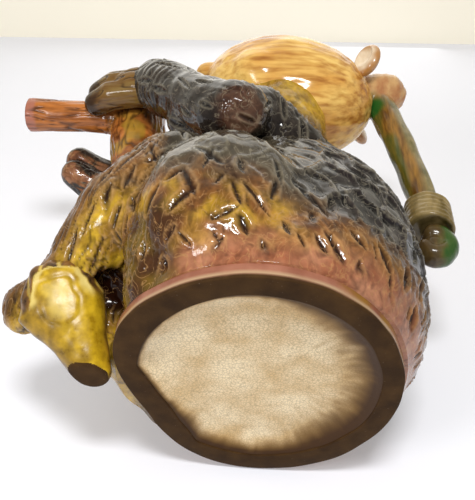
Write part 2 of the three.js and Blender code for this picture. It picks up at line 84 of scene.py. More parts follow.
# Rings of the dish, in shares of the bore
DISH_SHARES = (1, 0.985, 0.96, 0.93, 0.9, 0.86, 0.82, 0.78, 0.74, 0.7, 0.6, 0.5, 0.4, 0.3, 0.2, 0.1, 0.03)

# Body: height, half width, half depth and how far its middle lies to the back
BODY_SECTIONS = (
    (5.6, 57.5, 50.5, 0),
    (9, 58.5, 52, 2),
    (16, 59, 53.5, 5),
    (26, 58.5, 54, 7.5),
    (45, 55, 53, 10),
    (62, 51.5, 51, 10.5),
    (80, 45.5, 48, 10),
    (98, 37, 41.5, 8),
    (112, 29, 33, 5),
    (128, 26, 26, 1),
    (150, 25, 25, 2),
    (172, 24, 24.5, 4.5),
)
# The coat is modelled down to this height, then cut level on the ring
COAT_ROOT = -8
WALL = 5
CAVITY_FLOOR = 9.5
CAVITY_RISE = 8
HAUNCH_PLACE = Vector((49.5, -15, 42))
HAUNCH_HALVES = Vector((15.5, 27.5, 34.5))
THIGH_PLACE = Vector((36, -33, 41))
THIGH_HALVES = Vector((15, 17, 32))
# Fur that fills the fold between each leg and the ring, and the overhang in front of the ring
GROIN_PLACE = Vector((30, -37, 18))
GROIN_HALVES = Vector((16, 9.5, 15))
APRON_PLACE = Vector((-8, -45, 12))
APRON_HALVES = Vector((24, 9.5, 9))
LAP_PLACE = Vector((0, -53, 44))
LAP_HALVES = Vector((20, 13, 20))
# A deep hollow between the left leg and the right sole, carved and also painted dark as shade: its mouth and
# its end
PIT = (Vector((25, -54, 18)), Vector((7, -55.3, 36)))
# Edges of the coat's zones, each from where it begins to change to where it has changed
LEG_FUR_REACH = (24, 33)
LEG_FUR_BACK = (-46, -37)
GROIN_FRONT = (22, 34)
GROIN_SIDE = (6, 14)
GROIN_TOP = (26, 36)
NECK_LINE = (128, 142)
SLATE_FADE = (-9, 13)
OLIVE_BACK = (0, 26)
PINK_FOOT_TOP = (8, 22)
TOOLED_ABOVE = (8, 13)
# The hem of the slate glaze: its height at the back, and how it rises in front of this place
SLATE_HEM = 24
SLATE_HEM_RISE = 0.27
SLATE_HEM_BACK = 35
LEFT_KNEE = Vector((31, -36, 76))
RIGHT_KNEE = LEFT_KNEE * Vector((-1, 1, 1))
SHIN_BOW = 8
LEFT_ANKLE = Vector((8, -77, 31.5))
RIGHT_ANKLE = Vector((-7, -63, 20))
LEFT_TOES = Vector((2.7, -89, 27.5))
KNEE_RADIUS = 19
LEFT_CALF_RADIUS = 18.5
RIGHT_CALF_RADIUS = 19.5
LEFT_ANKLE_RADIUS = 11
RIGHT_ANKLE_RADIUS = 12.5
LEFT_INSTEP_HALVES = (9.5, 10.5)
LEFT_TOES_HALVES = (9.5, 11.5)
HEEL = Vector((0.5, -58.7, 3))
SOLE_TOES = Vector((21, -72.5, 31))
# Half thickness and half width of the right foot
HEEL_HALVES = (7.5, 7)
ARCH_HALVES = (8, 10)
BALL_HALVES = (8.5, 16.5)
FRONT_HALVES = (7, 12)
SOLE_WAY = Vector((0.85, 0.18, -0.5)).normalized()

# Arms, paws and the branch that they hold
SHOULDER = Vector((34, -7, 112))
SHOULDER_BLADE = Vector((22, 13, 106))
ELBOW = Vector((45, -18, 99))
SHOULDER_RADIUS = 15.5
ELBOW_RADIUS = 13
FOREARM_RADIUS = 12
CUFF_RADIUS = 13.5
WRIST_RADIUS = 12.5
# Share of the forearm where rings of hair take over from locks
CUFF_HAIR = (0.45, 0.75)
FOREARM_SWELL = Vector((11, 13, 11))
PALM_HALVES = Vector((9, 14, 11))
LEFT_WRIST = Vector((24, -56, 153))
RIGHT_WRIST = Vector((-24, -68, 129))
LEFT_PAW_TIP = Vector((17.5, -87, 153))
RIGHT_PAW_TIP = Vector((-17.5, -98.5, 135))
PAW_FINGERS = 2
LEFT_FINGER = 7
RIGHT_FINGER = 8.2
# Stem and limb of the branch: two ends and a radius; a burr: its place and half sizes
STEM = (Vector((0, -61.5, 113)), Vector((0, -69, 161)), 13.5)
LIMB = (Vector((4, -68, 153)), Vector((4, -123, 153)), 8)
BURR = (Vector((6, -72, 163)), Vector((6, 6, 5)))
# Bark runs along the limb in front of this band, and up the stem behind it
BARK_TURN = (-84, -76)

# Head: its middle, half sizes and nod
HEAD_CENTRE = Vector((0, 6.5, 183))
HEAD_HALVES = Vector((32, 45.5, 33))
HEAD_TURN = Matrix.Rotation(math.radians(-12), 3, "X")
# Pieces of the head: shares of its half sizes to the left, forward and up, then half sizes
MUZZLE = ((0, 0.72, -0.02), Vector((15, 18.5, 11.5)))
JAW = ((0, 0.7, -0.62), Vector((13.5, 17, 9)))
CHEEK = ((0.52, 0.25, -0.25), Vector((14, 18, 15)))
BROW = ((0.4, 0.42, 0.62), Vector((7.5, 8, 5)))
LIP = ((0.22, 0.95, 0), Vector((7, 7, 7)))
EYE = ((0.45, 0.52, 0.62), Vector((4, 4, 4)))
EYE_BULGE = ((0.45, 0.55, 0.64), Vector((2.6, 3.4, 3.4)))
NOSE = ((0, 1.06, 0.14), Vector((6.5, 4.6, 4.6)))
NOSE_BRIDGE = ((0, 1.02, 0.2), Vector((5.2, 4.6, 3.6)))
NOSTRIL = ((0.1, 1.17, 0.12), Vector((1.5, 1.8, 1.1)))
MOUTH_UP = -0.33
MOUTH_HALVES = (12, 8)
NECK_BORE = (Vector((0, 4.5, 150)), Vector((0, 4.5, 178)))
NECK_BORE_HALVES = (20, 19.5)
EAR_PLACE = (0.68, -0.84, 0.36)
EAR_HALVES = Vector((8.5, 4, 9))
EAR_CUP_PLACE = Vector((0, -4.4, 1.2))
EAR_CUP_HALVES = Vector((6.2, 4.2, 6.6))
EAR_LEAN = 28
EAR_TWIST = 45

# Handle: places along the twig and the stump, each with a radius
HANDLE_STOPS = (
    ((0, 54, 183), 7.5),
    ((0, 56.5, 175), 7.4),
    ((0, 58.5, 166), 7.2),
    ((0, 62, 150), 7),
    ((0, 65.4, 130), 6.9),
    ((0, 68.4, 110), 6.7),
    ((0, 70.2, 92), 6.7),
)
STUMP_STOPS = (((0, 38, 182), 12), ((0, 48, 187.5), 12.3), ((0, 59, 190), 11))
# Heights between which the twig turns into the stump
STUMP_FOOT = (174, 180)
# A pool of green glaze under the stump
POOL_PLACE = (4, 50, 171)
BINDING_BACK = 70.2
BINDING_FOOT = 84.5
BINDING_LENGTH = 15
BINDING_RADIUS = 10.5
BINDING_RINGS = 6
BINDING_CORD = 1.3
BINDING_LEAN = -9
SCROLL_CENTRE = Vector((0, 70.2, 74.5))
SCROLL_CURL = 6.5
SCROLL_TURN = 250
SCROLL_STOPS = 15
# Half width and half thickness of the curl at its start, what it loses to its end, and its middle
SCROLL_HALVES = Vector((6.5, 4.8))
SCROLL_TAPER = Vector((1.2, 0.6))
SCROLL_EYE_HALVES = Vector((5.6, 5, 5))

ring_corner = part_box("foot_ring")[0]
JUG_TO_FRAME = Matrix.Translation((0, ring_corner.y + RING_LENGTH / 2 * MM, 0)) @ Matrix.Scale(MM, 4)


# Numbers and patterns

def ease(low, high, values):
    """0 below low, 1 above high and a smooth slope between them."""
    share = np.clip((np.asarray(values, float) - low) / (high - low), 0, 1)
    return share * share * (3 - 2 * share)


def swell(points):
    """Smooth noise from about -1 to 1, one wave for each unit of the points."""
    return np.array([noise.noise(place) for place in points.tolist()])


def along(points, start, end):
    """Share of the way from start to end, and distance from that line."""
    start = np.array(start)
    way = np.array(end) - start
    share = (points - start) @ way / (way @ way)
    nearest = start + np.clip(share, 0, 1)[:, None] * way
    return share, np.linalg.norm(points - nearest, axis=1)


# Clay: lumps and rolls that are pressed together, then carved

def lump(bm, centre, halves, turn=Matrix.Identity(3)):
    """An egg of clay."""
    place = Matrix.Translation(centre) @ turn.to_4x4() @ Matrix.Diagonal((*halves, 1))
    bmesh.ops.create_uvsphere(bm, u_segments=32, v_segments=20, radius=1, matrix=place)


def section(centre, first, second):
    """The place of a unit circle whose two half axes become first and second."""
    third = first.cross(second).normalized()
    return Matrix.Translation(centre) @ Matrix((first, second, third)).transposed().to_4x4()


def raise_rim(bm, rim):
    """Extrudes a rim of edges; gives the new points and the new rim."""
    raised = bmesh.ops.extrude_edge_only(bm, edges=rim)["geom"]
    verts = {item for item in raised if isinstance(item, bmesh.types.BMVert)}
    edges = [item for item in raised if isinstance(item, bmesh.types.BMEdge)]
    return list(verts), [edge for edge in edges if verts.issuperset(edge.verts)]


def loft(bm, sections, sides):
    """A closed skin through circles at the given places."""
    start = bmesh.ops.create_circle(bm, cap_ends=True, segments=sides, radius=1, matrix=sections[0])
    rim = list({edge for vert in start["verts"] for edge in vert.link_edges})
    for before, after in zip(sections, sections[1:]):
        verts, rim = raise_rim(bm, rim)
        bmesh.ops.transform(bm, matrix=after @ before.inverted(), verts=verts)
    bmesh.ops.contextual_create(bm, geom=rim)


def roll(bm, stops, across=Vector((1, 0, 0)), round_start=True, round_end=True, sides=24):
    """A roll of clay through stops: a place, half its size across and, if flattened, the other half size."""
    places = [Vector(stop[0]) for stop in stops]
    sections = []
    for index, stop in enumerate(stops):
        way = (places[min(index + 1, len(stops) - 1)] - places[max(index - 1, 0)]).normalized()
        second = way.cross(across).normalized()
        first = second.cross(way)
        radii = (stop[1], stop[-1])
        ends = []
        if index == 0 and round_start:
            ends = [-angle for angle in ROUND_END_DEGREES]
        if index == len(stops) - 1 and round_end:
            ends = ROUND_END_DEGREES
        angles = sorted([0, *ends])
        for angle in angles:
            turn = math.radians(angle)
            centre = places[index] + way * min(radii) * math.sin(turn)
            shrink = math.cos(turn)
            sections.append(section(centre, first * radii[0] * shrink, second * radii[1] * shrink))
    loft(bm, sections, sides)


def solid_of(bm):
    """A mesh with its faces turned outwards."""
    bmesh.ops.recalc_face_normals(bm, faces=bm.faces)
    mesh = bpy.data.meshes.new("clay")
    bm.to_mesh(mesh)
    bm.free()
    return mesh


def finished(mesh, *steps):
    """The mesh after modifiers, each given as its kind and its settings."""
    clay = bpy.data.objects.new("clay", mesh)
    bpy.context.scene.collection.objects.link(clay)
    for kind, settings in steps:
        modifier = clay.modifiers.new(kind, kind)
        for name, value in settings.items():
            setattr(modifier, name, value)
    evaluated = clay.evaluated_get(bpy.context.evaluated_depsgraph_get())
    result = bpy.data.meshes.new_from_object(evaluated)
    bpy.data.objects.remove(clay)
    return result


def pressed(bm, grain, smoothing, blend=None):
    """Lumps pressed into one skin of even grain, in millimetres; a coarser grain first blends them wider."""
    steps = []
    for size, rounds in (blend, (grain, smoothing)) if blend else ((grain, smoothing),):
        steps.append(("REMESH", {"mode": "VOXEL", "voxel_size": size}))
        steps.append(("SMOOTH", {"factor": 0.5, "iterations": rounds}))
    return finished(solid_of(bm), *steps)


def scooped(mesh, cutter_bm):
    """The mesh with the cutter taken out; what the cutter leaves gets the second material."""
    cutter = bpy.data.objects.new("cutter", solid_of(cutter_bm))
    bpy.context.scene.collection.objects.link(cutter)
    cutter.data.materials.append(None)
    for face in cutter.data.polygons:
        face.material_index = 1
    cut = {"operation": "DIFFERENCE", "solver": "EXACT", "object": cutter, "material_mode": "INDEX"}
    result = finished(mesh, ("BOOLEAN", cut))
    bpy.data.objects.remove(cutter)
    return result


def points_of(mesh):
    """Places of a mesh's points, one row each."""
    places = np.empty(len(mesh.vertices) * 3)
    mesh.vertices.foreach_get("co", places)
    return places.reshape(-1, 3)


def normals_of(mesh):
    """Normals at a mesh's points, one row each."""
    return np.array([normal.vector for normal in mesh.vertex_normals])


def carve(mesh, relief):
    """Moves each point along its normal by its relief in millimetres."""
    places = points_of(mesh) + normals_of(mesh) * relief[:, None]
    mesh.vertices.foreach_set("co", places.ravel())
    mesh.update()


def paint(mesh, **masks):
    """Keeps one number for each point under each name, for the materials."""
    for name, values in masks.items():
        layer = mesh.attributes.new(name, "FLOAT", "POINT")
        layer.data.foreach_set("value", np.asarray(values, np.float32))


def piece(name, mesh, materials, slot, *nodes):
    """Puts a finished mesh into the frame in place of CAD nodes; faces keep their material numbers."""
    kinds = np.empty(len(mesh.polygons), np.int32)
    mesh.polygons.foreach_get("material_index", kinds)
    mesh.transform(JUG_TO_FRAME)
    mesh.shade_smooth()
    mesh.materials.clear()
    for material in materials:
        mesh.materials.append(material)
    mesh.polygons.foreach_set("material_index", kinds)
    made = bpy.data.objects.new(name, mesh)
    bpy.context.scene.collection.objects.link(made)
    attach(made, "root")
    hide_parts(*nodes)


# Materials

def linear(code):
    """Linear colour of an sRGB hex value."""
    parts = [int(code[index:index + 2], 16) / 255 for index in (1, 3, 5)]
    return (*[part / 12.92 if part <= 0.04045 else ((part + 0.055) / 1.055) ** 2.4 for part in parts], 1)


def add(tree, kind, links=None, **settings):
    """Adds a shader node; links sets its sockets to a value, a hex colour, a socket or a node's result."""
    made = tree.nodes.new("ShaderNode" + kind)
    for name, value in settings.items():
        setattr(made, name, value)
    for name, value in (links or {}).items():
        socket = made.inputs[name]
        if isinstance(value, bpy.types.Node):
            value = next(output for output in value.outputs if output.enabled)
        if isinstance(value, bpy.types.NodeSocket):
            tree.links.new(value, socket)
        elif isinstance(value, str):
            socket.default_value = linear(value)
        else:
            socket.default_value = value
    return made


def new_material(name):
    """An empty material and its node tree."""
    material = bpy.data.materials.new(name)
    material.use_nodes = True
    material.node_tree.nodes.clear()
    return material, material.node_tree


def pattern(tree, wide, long=None, tall=None):
    """Object coordinates divided by a pattern's sizes in millimetres; one size is for all three axes."""
    place = add(tree, "TexCoord").outputs["Object"]
    scale = [1 / (MM * size) for size in (wide, long or wide, tall or wide)]
    return add(tree, "Mapping", {"Vector": place, "Scale": scale})


def fur_glaze():
    """Lead glaze over modelled fur: thin and pale on ridges, dark where it pools, runs or has painted shade,
    very glossy.
    """
    material, tree = new_material("lead_glaze_on_modelled_fur")
    cloud = add(tree, "TexNoise", {"Vector": pattern(tree, 11), "Scale": 1, "Detail": 4})
    fleck = add(tree, "TexNoise", {"Vector": pattern(tree, 2.2), "Scale": 1, "Detail": 3})
    flow = {"Vector": pattern(tree, 6, 6, 9), "Scale": 1, "Detail": 2, "Distortion": 1.4}
    flow = add(tree, "TexNoise", flow)
    masks = ("slate", "olive", "clay", "straw", "hollow", "crest")
    slate, olive, clay, straw, hollow, crest = (
        add(tree, "Attribute", attribute_name=mask).outputs["Fac"] for mask in masks)
    patch = add(tree, "MapRange", {0: cloud, 1: 0.35, 2: 0.65})
    speck = add(tree, "MapRange", {0: fleck, 1: 0.35, 2: 0.7})
    amber = add(tree, "Mix", {0: patch, 6: "#4f2f17", 7: "#8a5a2b"}, data_type="RGBA")
    earth = add(tree, "Mix", {0: patch, 6: "#8c5236", 7: "#b17a5b"}, data_type="RGBA")
    gold = add(tree, "Mix", {0: patch, 6: "#9c761b", 7: "#e0b834"}, data_type="RGBA")
    stone = add(tree, "Mix", {0: patch, 6: "#181213", 7: "#2c2424"}, data_type="RGBA")
    moss = add(tree, "Mix", {0: patch, 6: "#2c251a", 7: "#4e4434"}, data_type="RGBA")
    base = add(tree, "Mix", {0: clay, 6: amber, 7: earth}, data_type="RGBA")
    base = add(tree, "Mix", {0: straw, 6: base, 7: gold}, data_type="RGBA")
    dark = add(tree, "Mix", {0: olive, 6: stone, 7: moss}, data_type="RGBA")
    base = add(tree, "Mix", {0: slate, 6: base, 7: dark}, data_type="RGBA")
    pool = add(tree, "Mix", {0: slate, 6: "#241007", 7: "#0b090a"}, data_type="RGBA")
    edge = add(tree, "Mix", {0: slate, 6: "#b08654", 7: "#857d6b"}, data_type="RGBA")
    runs = add(tree, "MapRange", {0: flow, 1: 0.3, 2: 0.5, 3: 0.5, 4: 0})
    # hollow is glaze pooled in the strokes and facets, and on the coat also painted shade in the deep hollow
    # and the folds beside the legs
    deep = add(tree, "Math", {0: hollow, 1: runs}, operation="MAXIMUM")
    base = add(tree, "Mix", {0: deep, 6: base, 7: pool}, data_type="RGBA")
    middle = add(tree, "Math", {0: flow, 1: 0.53}, operation="SUBTRACT")
    middle = add(tree, "Math", {0: middle}, operation="ABSOLUTE")
    thread = add(tree, "MapRange", {0: middle, 1: 0, 2: 0.022, 3: 0.5, 4: 0})
    pale = add(tree, "Math", {0: crest, 1: thread}, operation="MAXIMUM")
    base = add(tree, "Mix", {0: pale, 6: base, 7: edge}, data_type="RGBA")
    dim = add(tree, "MapRange", {0: speck, 3: 0.8, 4: 1.12})
    base = add(tree, "HueSaturation", {"Value": dim, "Color": base})
    ripple = add(tree, "TexNoise", {"Vector": pattern(tree, 3), "Scale": 1, "Detail": 2})
    bump = add(tree, "Bump", {"Height": ripple, "Strength": 0.25, "Distance": 0.5 * MM})
    rough = add(tree, "MapRange", {0: fleck, 3: 0.06, 4: 0.2})
    shader = add(tree, "BsdfPrincipled", {
        "Base Color": base, "Roughness": rough, "Normal": bump,
        "IOR": GLAZE_IOR, "Specular IOR Level": 0.27})
    add(tree, "OutputMaterial", {"Surface": shader})
    return material


def inner_glaze():
    """Pale liner glaze inside the jug: cream, with faint runs and a soft gloss."""
    material, tree = new_material("cream_liner_glaze")
    runs = add(tree, "TexNoise", {"Vector": pattern(tree, 5, 5, 24), "Scale": 1, "Detail": 3})
    base = add(tree, "Mix", {0: runs, 6: "#a8927a", 7: "#d8c8ae"}, data_type="RGBA")
    rough = add(tree, "MapRange", {0: runs, 3: 0.18, 4: 0.35})
    shader = add(tree, "BsdfPrincipled", {"Base Color": base, "Roughness": rough})
    add(tree, "OutputMaterial", {"Surface": shader})
    return material


def honey_glaze():
    """Honey glaze brushed on the head from front to back: golden, with brown streaks and orange patches."""
    material, tree = new_material("honey_lead_glaze")
    streak = add(tree, "TexNoise", {"Vector": pattern(tree, 2.6, 26, 2.6), "Scale": 1, "Detail": 4})
    broad = add(tree, "TexNoise", {"Vector": pattern(tree, 14, 26, 14), "Scale": 1, "Detail": 3})
    dark = add(tree, "Attribute", attribute_name="dark").outputs["Fac"]
    lines = add(tree, "MapRange", {0: streak, 1: 0.34, 2: 0.6})
    wash = add(tree, "MapRange", {0: broad, 1: 0.36, 2: 0.62})
    light = add(tree, "Mix", {0: wash, 6: "#d19645", 7: "#ecc36d"}, data_type="RGBA")
    brown = add(tree, "Mix", {0: wash, 6: "#9c6228", 7: "#c99446"}, data_type="RGBA")
    base = add(tree, "Mix", {0: lines, 6: brown, 7: light}, data_type="RGBA")
    base = add(tree, "Mix", {0: dark, 6: base, 7: "#33200f"}, data_type="RGBA")
    bump = add(tree, "Bump", {"Height": streak, "Strength": 0.2, "Distance": 0.4 * MM})
    rough = add(tree, "MapRange", {0: broad, 3: 0.08, 4: 0.24})
    shader = add(tree, "BsdfPrincipled", {
        "Base Color": base, "Roughness": rough, "Normal": bump,
        "IOR": GLAZE_IOR, "Specular IOR Level": 0.35})
    add(tree, "OutputMaterial", {"Surface": shader})
    return material


def sole_glaze():
    """Yellow glaze on the sole: lemon and olive, cream on the ball and toe gaps, brown at the edge."""
    material, tree = new_material("yellow_lead_glaze")
    cloud = add(tree, "TexNoise", {"Vector": pattern(tree, 4), "Scale": 1, "Detail": 4})
    masks = ("hollow", "brown", "cream")
    hollow, brown, cream = (
        add(tree, "Attribute", attribute_name=mask).outputs["Fac"] for mask in masks)
    wash = add(tree, "MapRange", {0: cloud, 1: 0.35, 2: 0.65})
    base = add(tree, "Mix", {0: wash, 6: "#9a7812", 7: "#cda820"}, data_type="RGBA")
    base = add(tree, "Mix", {0: cream, 6: base, 7: "#d8c376"}, data_type="RGBA")
    base = add(tree, "Mix", {0: hollow, 6: base, 7: "#8f7418"}, data_type="RGBA")
    umber = add(tree, "Mix", {0: wash, 6: "#38281a", 7: "#7d5626"}, data_type="RGBA")
    base = add(tree, "Mix", {0: brown, 6: base, 7: umber}, data_type="RGBA")
    bump = add(tree, "Bump", {"Height": cloud, "Strength": 0.3, "Distance": 0.5 * MM})
    rough = add(tree, "MapRange", {0: cloud, 3: 0.2, 4: 0.4})
    shader = add(tree, "BsdfPrincipled", {
        "Base Color": base, "Roughness": rough, "Normal": bump,
        "IOR": GLAZE_IOR, "Specular IOR Level": 0.3})
    add(tree, "OutputMaterial", {"Surface": shader})
    return material


def bark_glaze():
    """Brown glaze on the branch: orange-brown, streaked along the wood, with straw yellow on the stem."""
    material, tree = new_material("brown_glaze_on_bark")
    grain = add(tree, "TexNoise", {"Vector": pattern(tree, 2.2, 16, 4), "Scale": 1, "Detail": 4})
    masks = ("hollow", "end", "straw")
    hollow, end, straw = (
        add(tree, "Attribute", attribute_name=mask).outputs["Fac"] for mask in masks)
    lines = add(tree, "MapRange", {0: grain, 1: 0.36, 2: 0.64})
    base = add(tree, "Mix", {0: lines, 6: "#743f18", 7: "#bd7232"}, data_type="RGBA")
    base = add(tree, "Mix", {0: straw, 6: base, 7: "#a8842e"}, data_type="RGBA")
    base = add(tree, "Mix", {0: end, 6: base, 7: "#a86a54"}, data_type="RGBA")
    base = add(tree, "Mix", {0: hollow, 6: base, 7: "#2e170b"}, data_type="RGBA")
    bump = add(tree, "Bump", {"Height": grain, "Strength": 0.3, "Distance": 0.5 * MM})
    rough = add(tree, "MapRange", {0: grain, 3: 0.12, 4: 0.3})
    shader = add(tree, "BsdfPrincipled", {
        "Base Color": base, "Roughness": rough, "Normal": bump,
        "IOR": GLAZE_IOR, "Specular IOR Level": 0.35})
    add(tree, "OutputMaterial", {"Surface": shader})
    return material


def twig_glaze():
    """Green and brown glazes run together on the twig: olive, with rust, honey and dark green pools."""
    material, tree = new_material("olive_and_rust_glaze")
    cloud = add(tree, "TexNoise", {"Vector": pattern(tree, 6, 6, 11), "Scale": 1, "Detail": 3})
    grain = add(tree, "TexNoise", {"Vector": pattern(tree, 1.8, 1.8, 14), "Scale": 1, "Detail": 3})
    masks = ("rust", "green", "honey", "hollow")
    rust, green, honey, hollow = (
        add(tree, "Attribute", attribute_name=mask).outputs["Fac"] for mask in masks)
    wash = add(tree, "MapRange", {0: cloud, 1: 0.38, 2: 0.64})
    lines = add(tree, "MapRange", {0: grain, 1: 0.36, 2: 0.66})
    olive = add(tree, "Mix", {0: wash, 6: "#544e20", 7: "#8f7e50"}, data_type="RGBA")
    brown = add(tree, "Mix", {0: lines, 6: "#5a3a14", 7: "#8f6626"}, data_type="RGBA")
    amber = add(tree, "Mix", {0: wash, 6: "#a9744a", 7: "#c9a06a"}, data_type="RGBA")
    base = add(tree, "Mix", {0: rust, 6: olive, 7: brown}, data_type="RGBA")
    base = add(tree, "Mix", {0: honey, 6: base, 7: amber}, data_type="RGBA")
    base = add(tree, "Mix", {0: green, 6: base, 7: "#16531c"}, data_type="RGBA")
    # hollow darkens the glaze: pooled between the cords, and painted shade where the curl and the binding
    # face the jug
    base = add(tree, "Mix", {0: hollow, 6: base, 7: "#241f12"}, data_type="RGBA")
    bump = add(tree, "Bump", {"Height": grain, "Strength": 0.2, "Distance": 0.4 * MM})
    rough = add(tree, "MapRange", {0: cloud, 3: 0.1, 4: 0.26})
    shader = add(tree, "BsdfPrincipled", {
        "Base Color": base, "Roughness": rough, "Normal": bump,
        "IOR": GLAZE_IOR, "Specular IOR Level": 0.35})
    add(tree, "OutputMaterial", {"Surface": shader})
    return material


def ear_glaze():
    """Thin cream glaze on the ears: pale in the middle, tan where it runs off the edges."""
    material, tree = new_material("cream_and_tan_glaze")
    cloud = add(tree, "TexNoise", {"Vector": pattern(tree, 3, 3, 6), "Scale": 1, "Detail": 3})
    tan = add(tree, "Attribute", attribute_name="tan").outputs["Fac"]
    cream = add(tree, "Mix", {0: cloud, 6: "#cbb08c", 7: "#eedfc4"}, data_type="RGBA")
    base = add(tree, "Mix", {0: tan, 6: cream, 7: "#b07c44"}, data_type="RGBA")
    rough = add(tree, "MapRange", {0: cloud, 3: 0.12, 4: 0.3})
    shader = add(tree, "BsdfPrincipled", {
        "Base Color": base, "Roughness": rough, "Coat Weight": 0.5, "Coat Roughness": 0.05})
    add(tree, "OutputMaterial", {"Surface": shader})
    return material


def black_glaze():
    """Iron-black glaze on the nose and eyes: nearly black, with brown where it thins, like wet tar."""
    material, tree = new_material("iron_black_glaze")
    cloud = add(tree, "TexNoise", {"Vector": pattern(tree, 2), "Scale": 1, "Detail": 3})
    base = add(tree, "Mix", {0: cloud, 6: "#0d0b0b", 7: "#2e1d14"}, data_type="RGBA")
    rough = add(tree, "MapRange", {0: cloud, 3: 0.06, 4: 0.18})
    shader = add(tree, "BsdfPrincipled", {"Base Color": base, "Roughness": rough})
    add(tree, "OutputMaterial", {"Surface": shader})
    return material


def bare_clay():
    """Fired clay of the foot: matt dark brown with grit and specks where bare, pink glaze at the side."""
    material, tree = new_material("bare_fired_clay")
    grit = add(tree, "TexNoise", {"Vector": pattern(tree, 0.7), "Scale": 1, "Detail": 3})
    cloud = add(tree, "TexNoise", {"Vector": pattern(tree, 9), "Scale": 1, "Detail": 3})
    masks = ("glazed", "amber")
    glazed, amber = (
        add(tree, "Attribute", attribute_name=mask).outputs["Fac"] for mask in masks)
    worn = add(tree, "MapRange", {0: cloud, 1: 0.35, 2: 0.7})
    speck = add(tree, "MapRange", {0: grit, 1: 0.7, 2: 0.78})
    base = add(tree, "Mix", {0: worn, 6: "#33200a", 7: "#473014"}, data_type="RGBA")
    base = add(tree, "Mix", {0: speck, 6: base, 7: "#7d6c5c"}, data_type="RGBA")
    earth = add(tree, "Mix", {0: worn, 6: "#85523f", 7: "#a06c56"}, data_type="RGBA")
    earth = add(tree, "Mix", {0: amber, 6: earth, 7: "#8f6a24"}, data_type="RGBA")
    lip = add(tree, "Attribute", attribute_name="lip").outputs["Fac"]
    earth = add(tree, "Mix", {0: lip, 6: earth, 7: "#b09272"}, data_type="RGBA")
    base = add(tree, "Mix", {0: glazed, 6: base, 7: earth}, data_type="RGBA")
    rough = add(tree, "MapRange", {0: glazed, 3: 0.8, 4: 0.2})
    bump = add(tree, "Bump", {"Height": grit, "Strength": 0.3, "Distance": 0.2 * MM})
    shader = add(tree, "BsdfPrincipled", {
        "Base Color": base, "Roughness": rough, "Normal": bump, "Specular IOR Level": 0.15})
    add(tree, "OutputMaterial", {"Surface": shader})
    return material


def crazed_glaze():
    """Old cream glaze in the foot's dish: crazed in fine cells, with brown stain drawn in from the rim."""
    material, tree = new_material("crazed_cream_glaze")
    place = pattern(tree, 1.1)
    crack = add(tree, "TexVoronoi", {"Vector": place, "Scale": 1}, feature="DISTANCE_TO_EDGE")
    cloud = add(tree, "TexNoise", {"Vector": pattern(tree, 14), "Scale": 1, "Detail": 4})
    grain = add(tree, "TexNoise", {"Vector": pattern(tree, 0.9), "Scale": 1, "Detail": 2})
    stain = add(tree, "Attribute", attribute_name="stain").outputs["Fac"]
    wash = add(tree, "MapRange", {0: cloud, 1: 0.35, 2: 0.65})
    line = add(tree, "MapRange", {0: crack, 1: 0.02, 2: 0.12, 3: 0.45, 4: 0})
    mottle = add(tree, "MapRange", {0: grain, 1: 0.3, 2: 0.7, 3: 0.9, 4: 1.06})
    base = add(tree, "Mix", {0: wash, 6: "#d3b585", 7: "#f1ddb7"}, data_type="RGBA")
    base = add(tree, "Mix", {0: line, 6: base, 7: "#8f7a58"}, data_type="RGBA")
    base = add(tree, "HueSaturation", {"Value": mottle, "Color": base})
    tea = add(tree, "Mix", {0: stain, 6: base, 7: "#9f7634"}, data_type="RGBA")
    deep = add(tree, "MapRange", {0: stain, 1: 0.45, 2: 1})
    base = add(tree, "Mix", {0: deep, 6: tea, 7: "#3f2812"}, data_type="RGBA")
    rough = add(tree, "MapRange", {0: grain, 3: 0.3, 4: 0.5})
    bump = add(tree, "Bump", {"Height": crack, "Strength": 0.2, "Distance": 0.1 * MM})
    shader = add(tree, "BsdfPrincipled", {
        "Base Color": base, "Roughness": rough, "Normal": bump, "Specular IOR Level": 0.15})
    add(tree, "OutputMaterial", {"Surface": shader})
    return material


# Foot

def trimmed(place, share=1):
    """A point of the foot's plain ellipse, moved to the hand-trimmed outline that leans at the front."""
    angle = math.atan2(place.y, place.x)
    front = min(math.sin(angle), 0) ** 2
    cut = share * front * (RING_SKEW * math.sin(2 * angle) + RING_FLAT)
    reach = math.hypot(place.x, place.y)
    return Vector((place.x * (1 - cut / reach), place.y * (1 - cut / reach), place.z))


def bore_reach(angle):
    """Distance from the bore's centre to its edge: an ellipse with one straight knife cut."""
    way = Vector((math.cos(angle), math.sin(angle), 0))
    ellipse = 1 / math.hypot(way.x / BORE_HALVES[0], way.y / BORE_HALVES[1])
    facing, distance = BORE_CUT
    return min(ellipse, distance / max(facing.dot(way), 0.1))


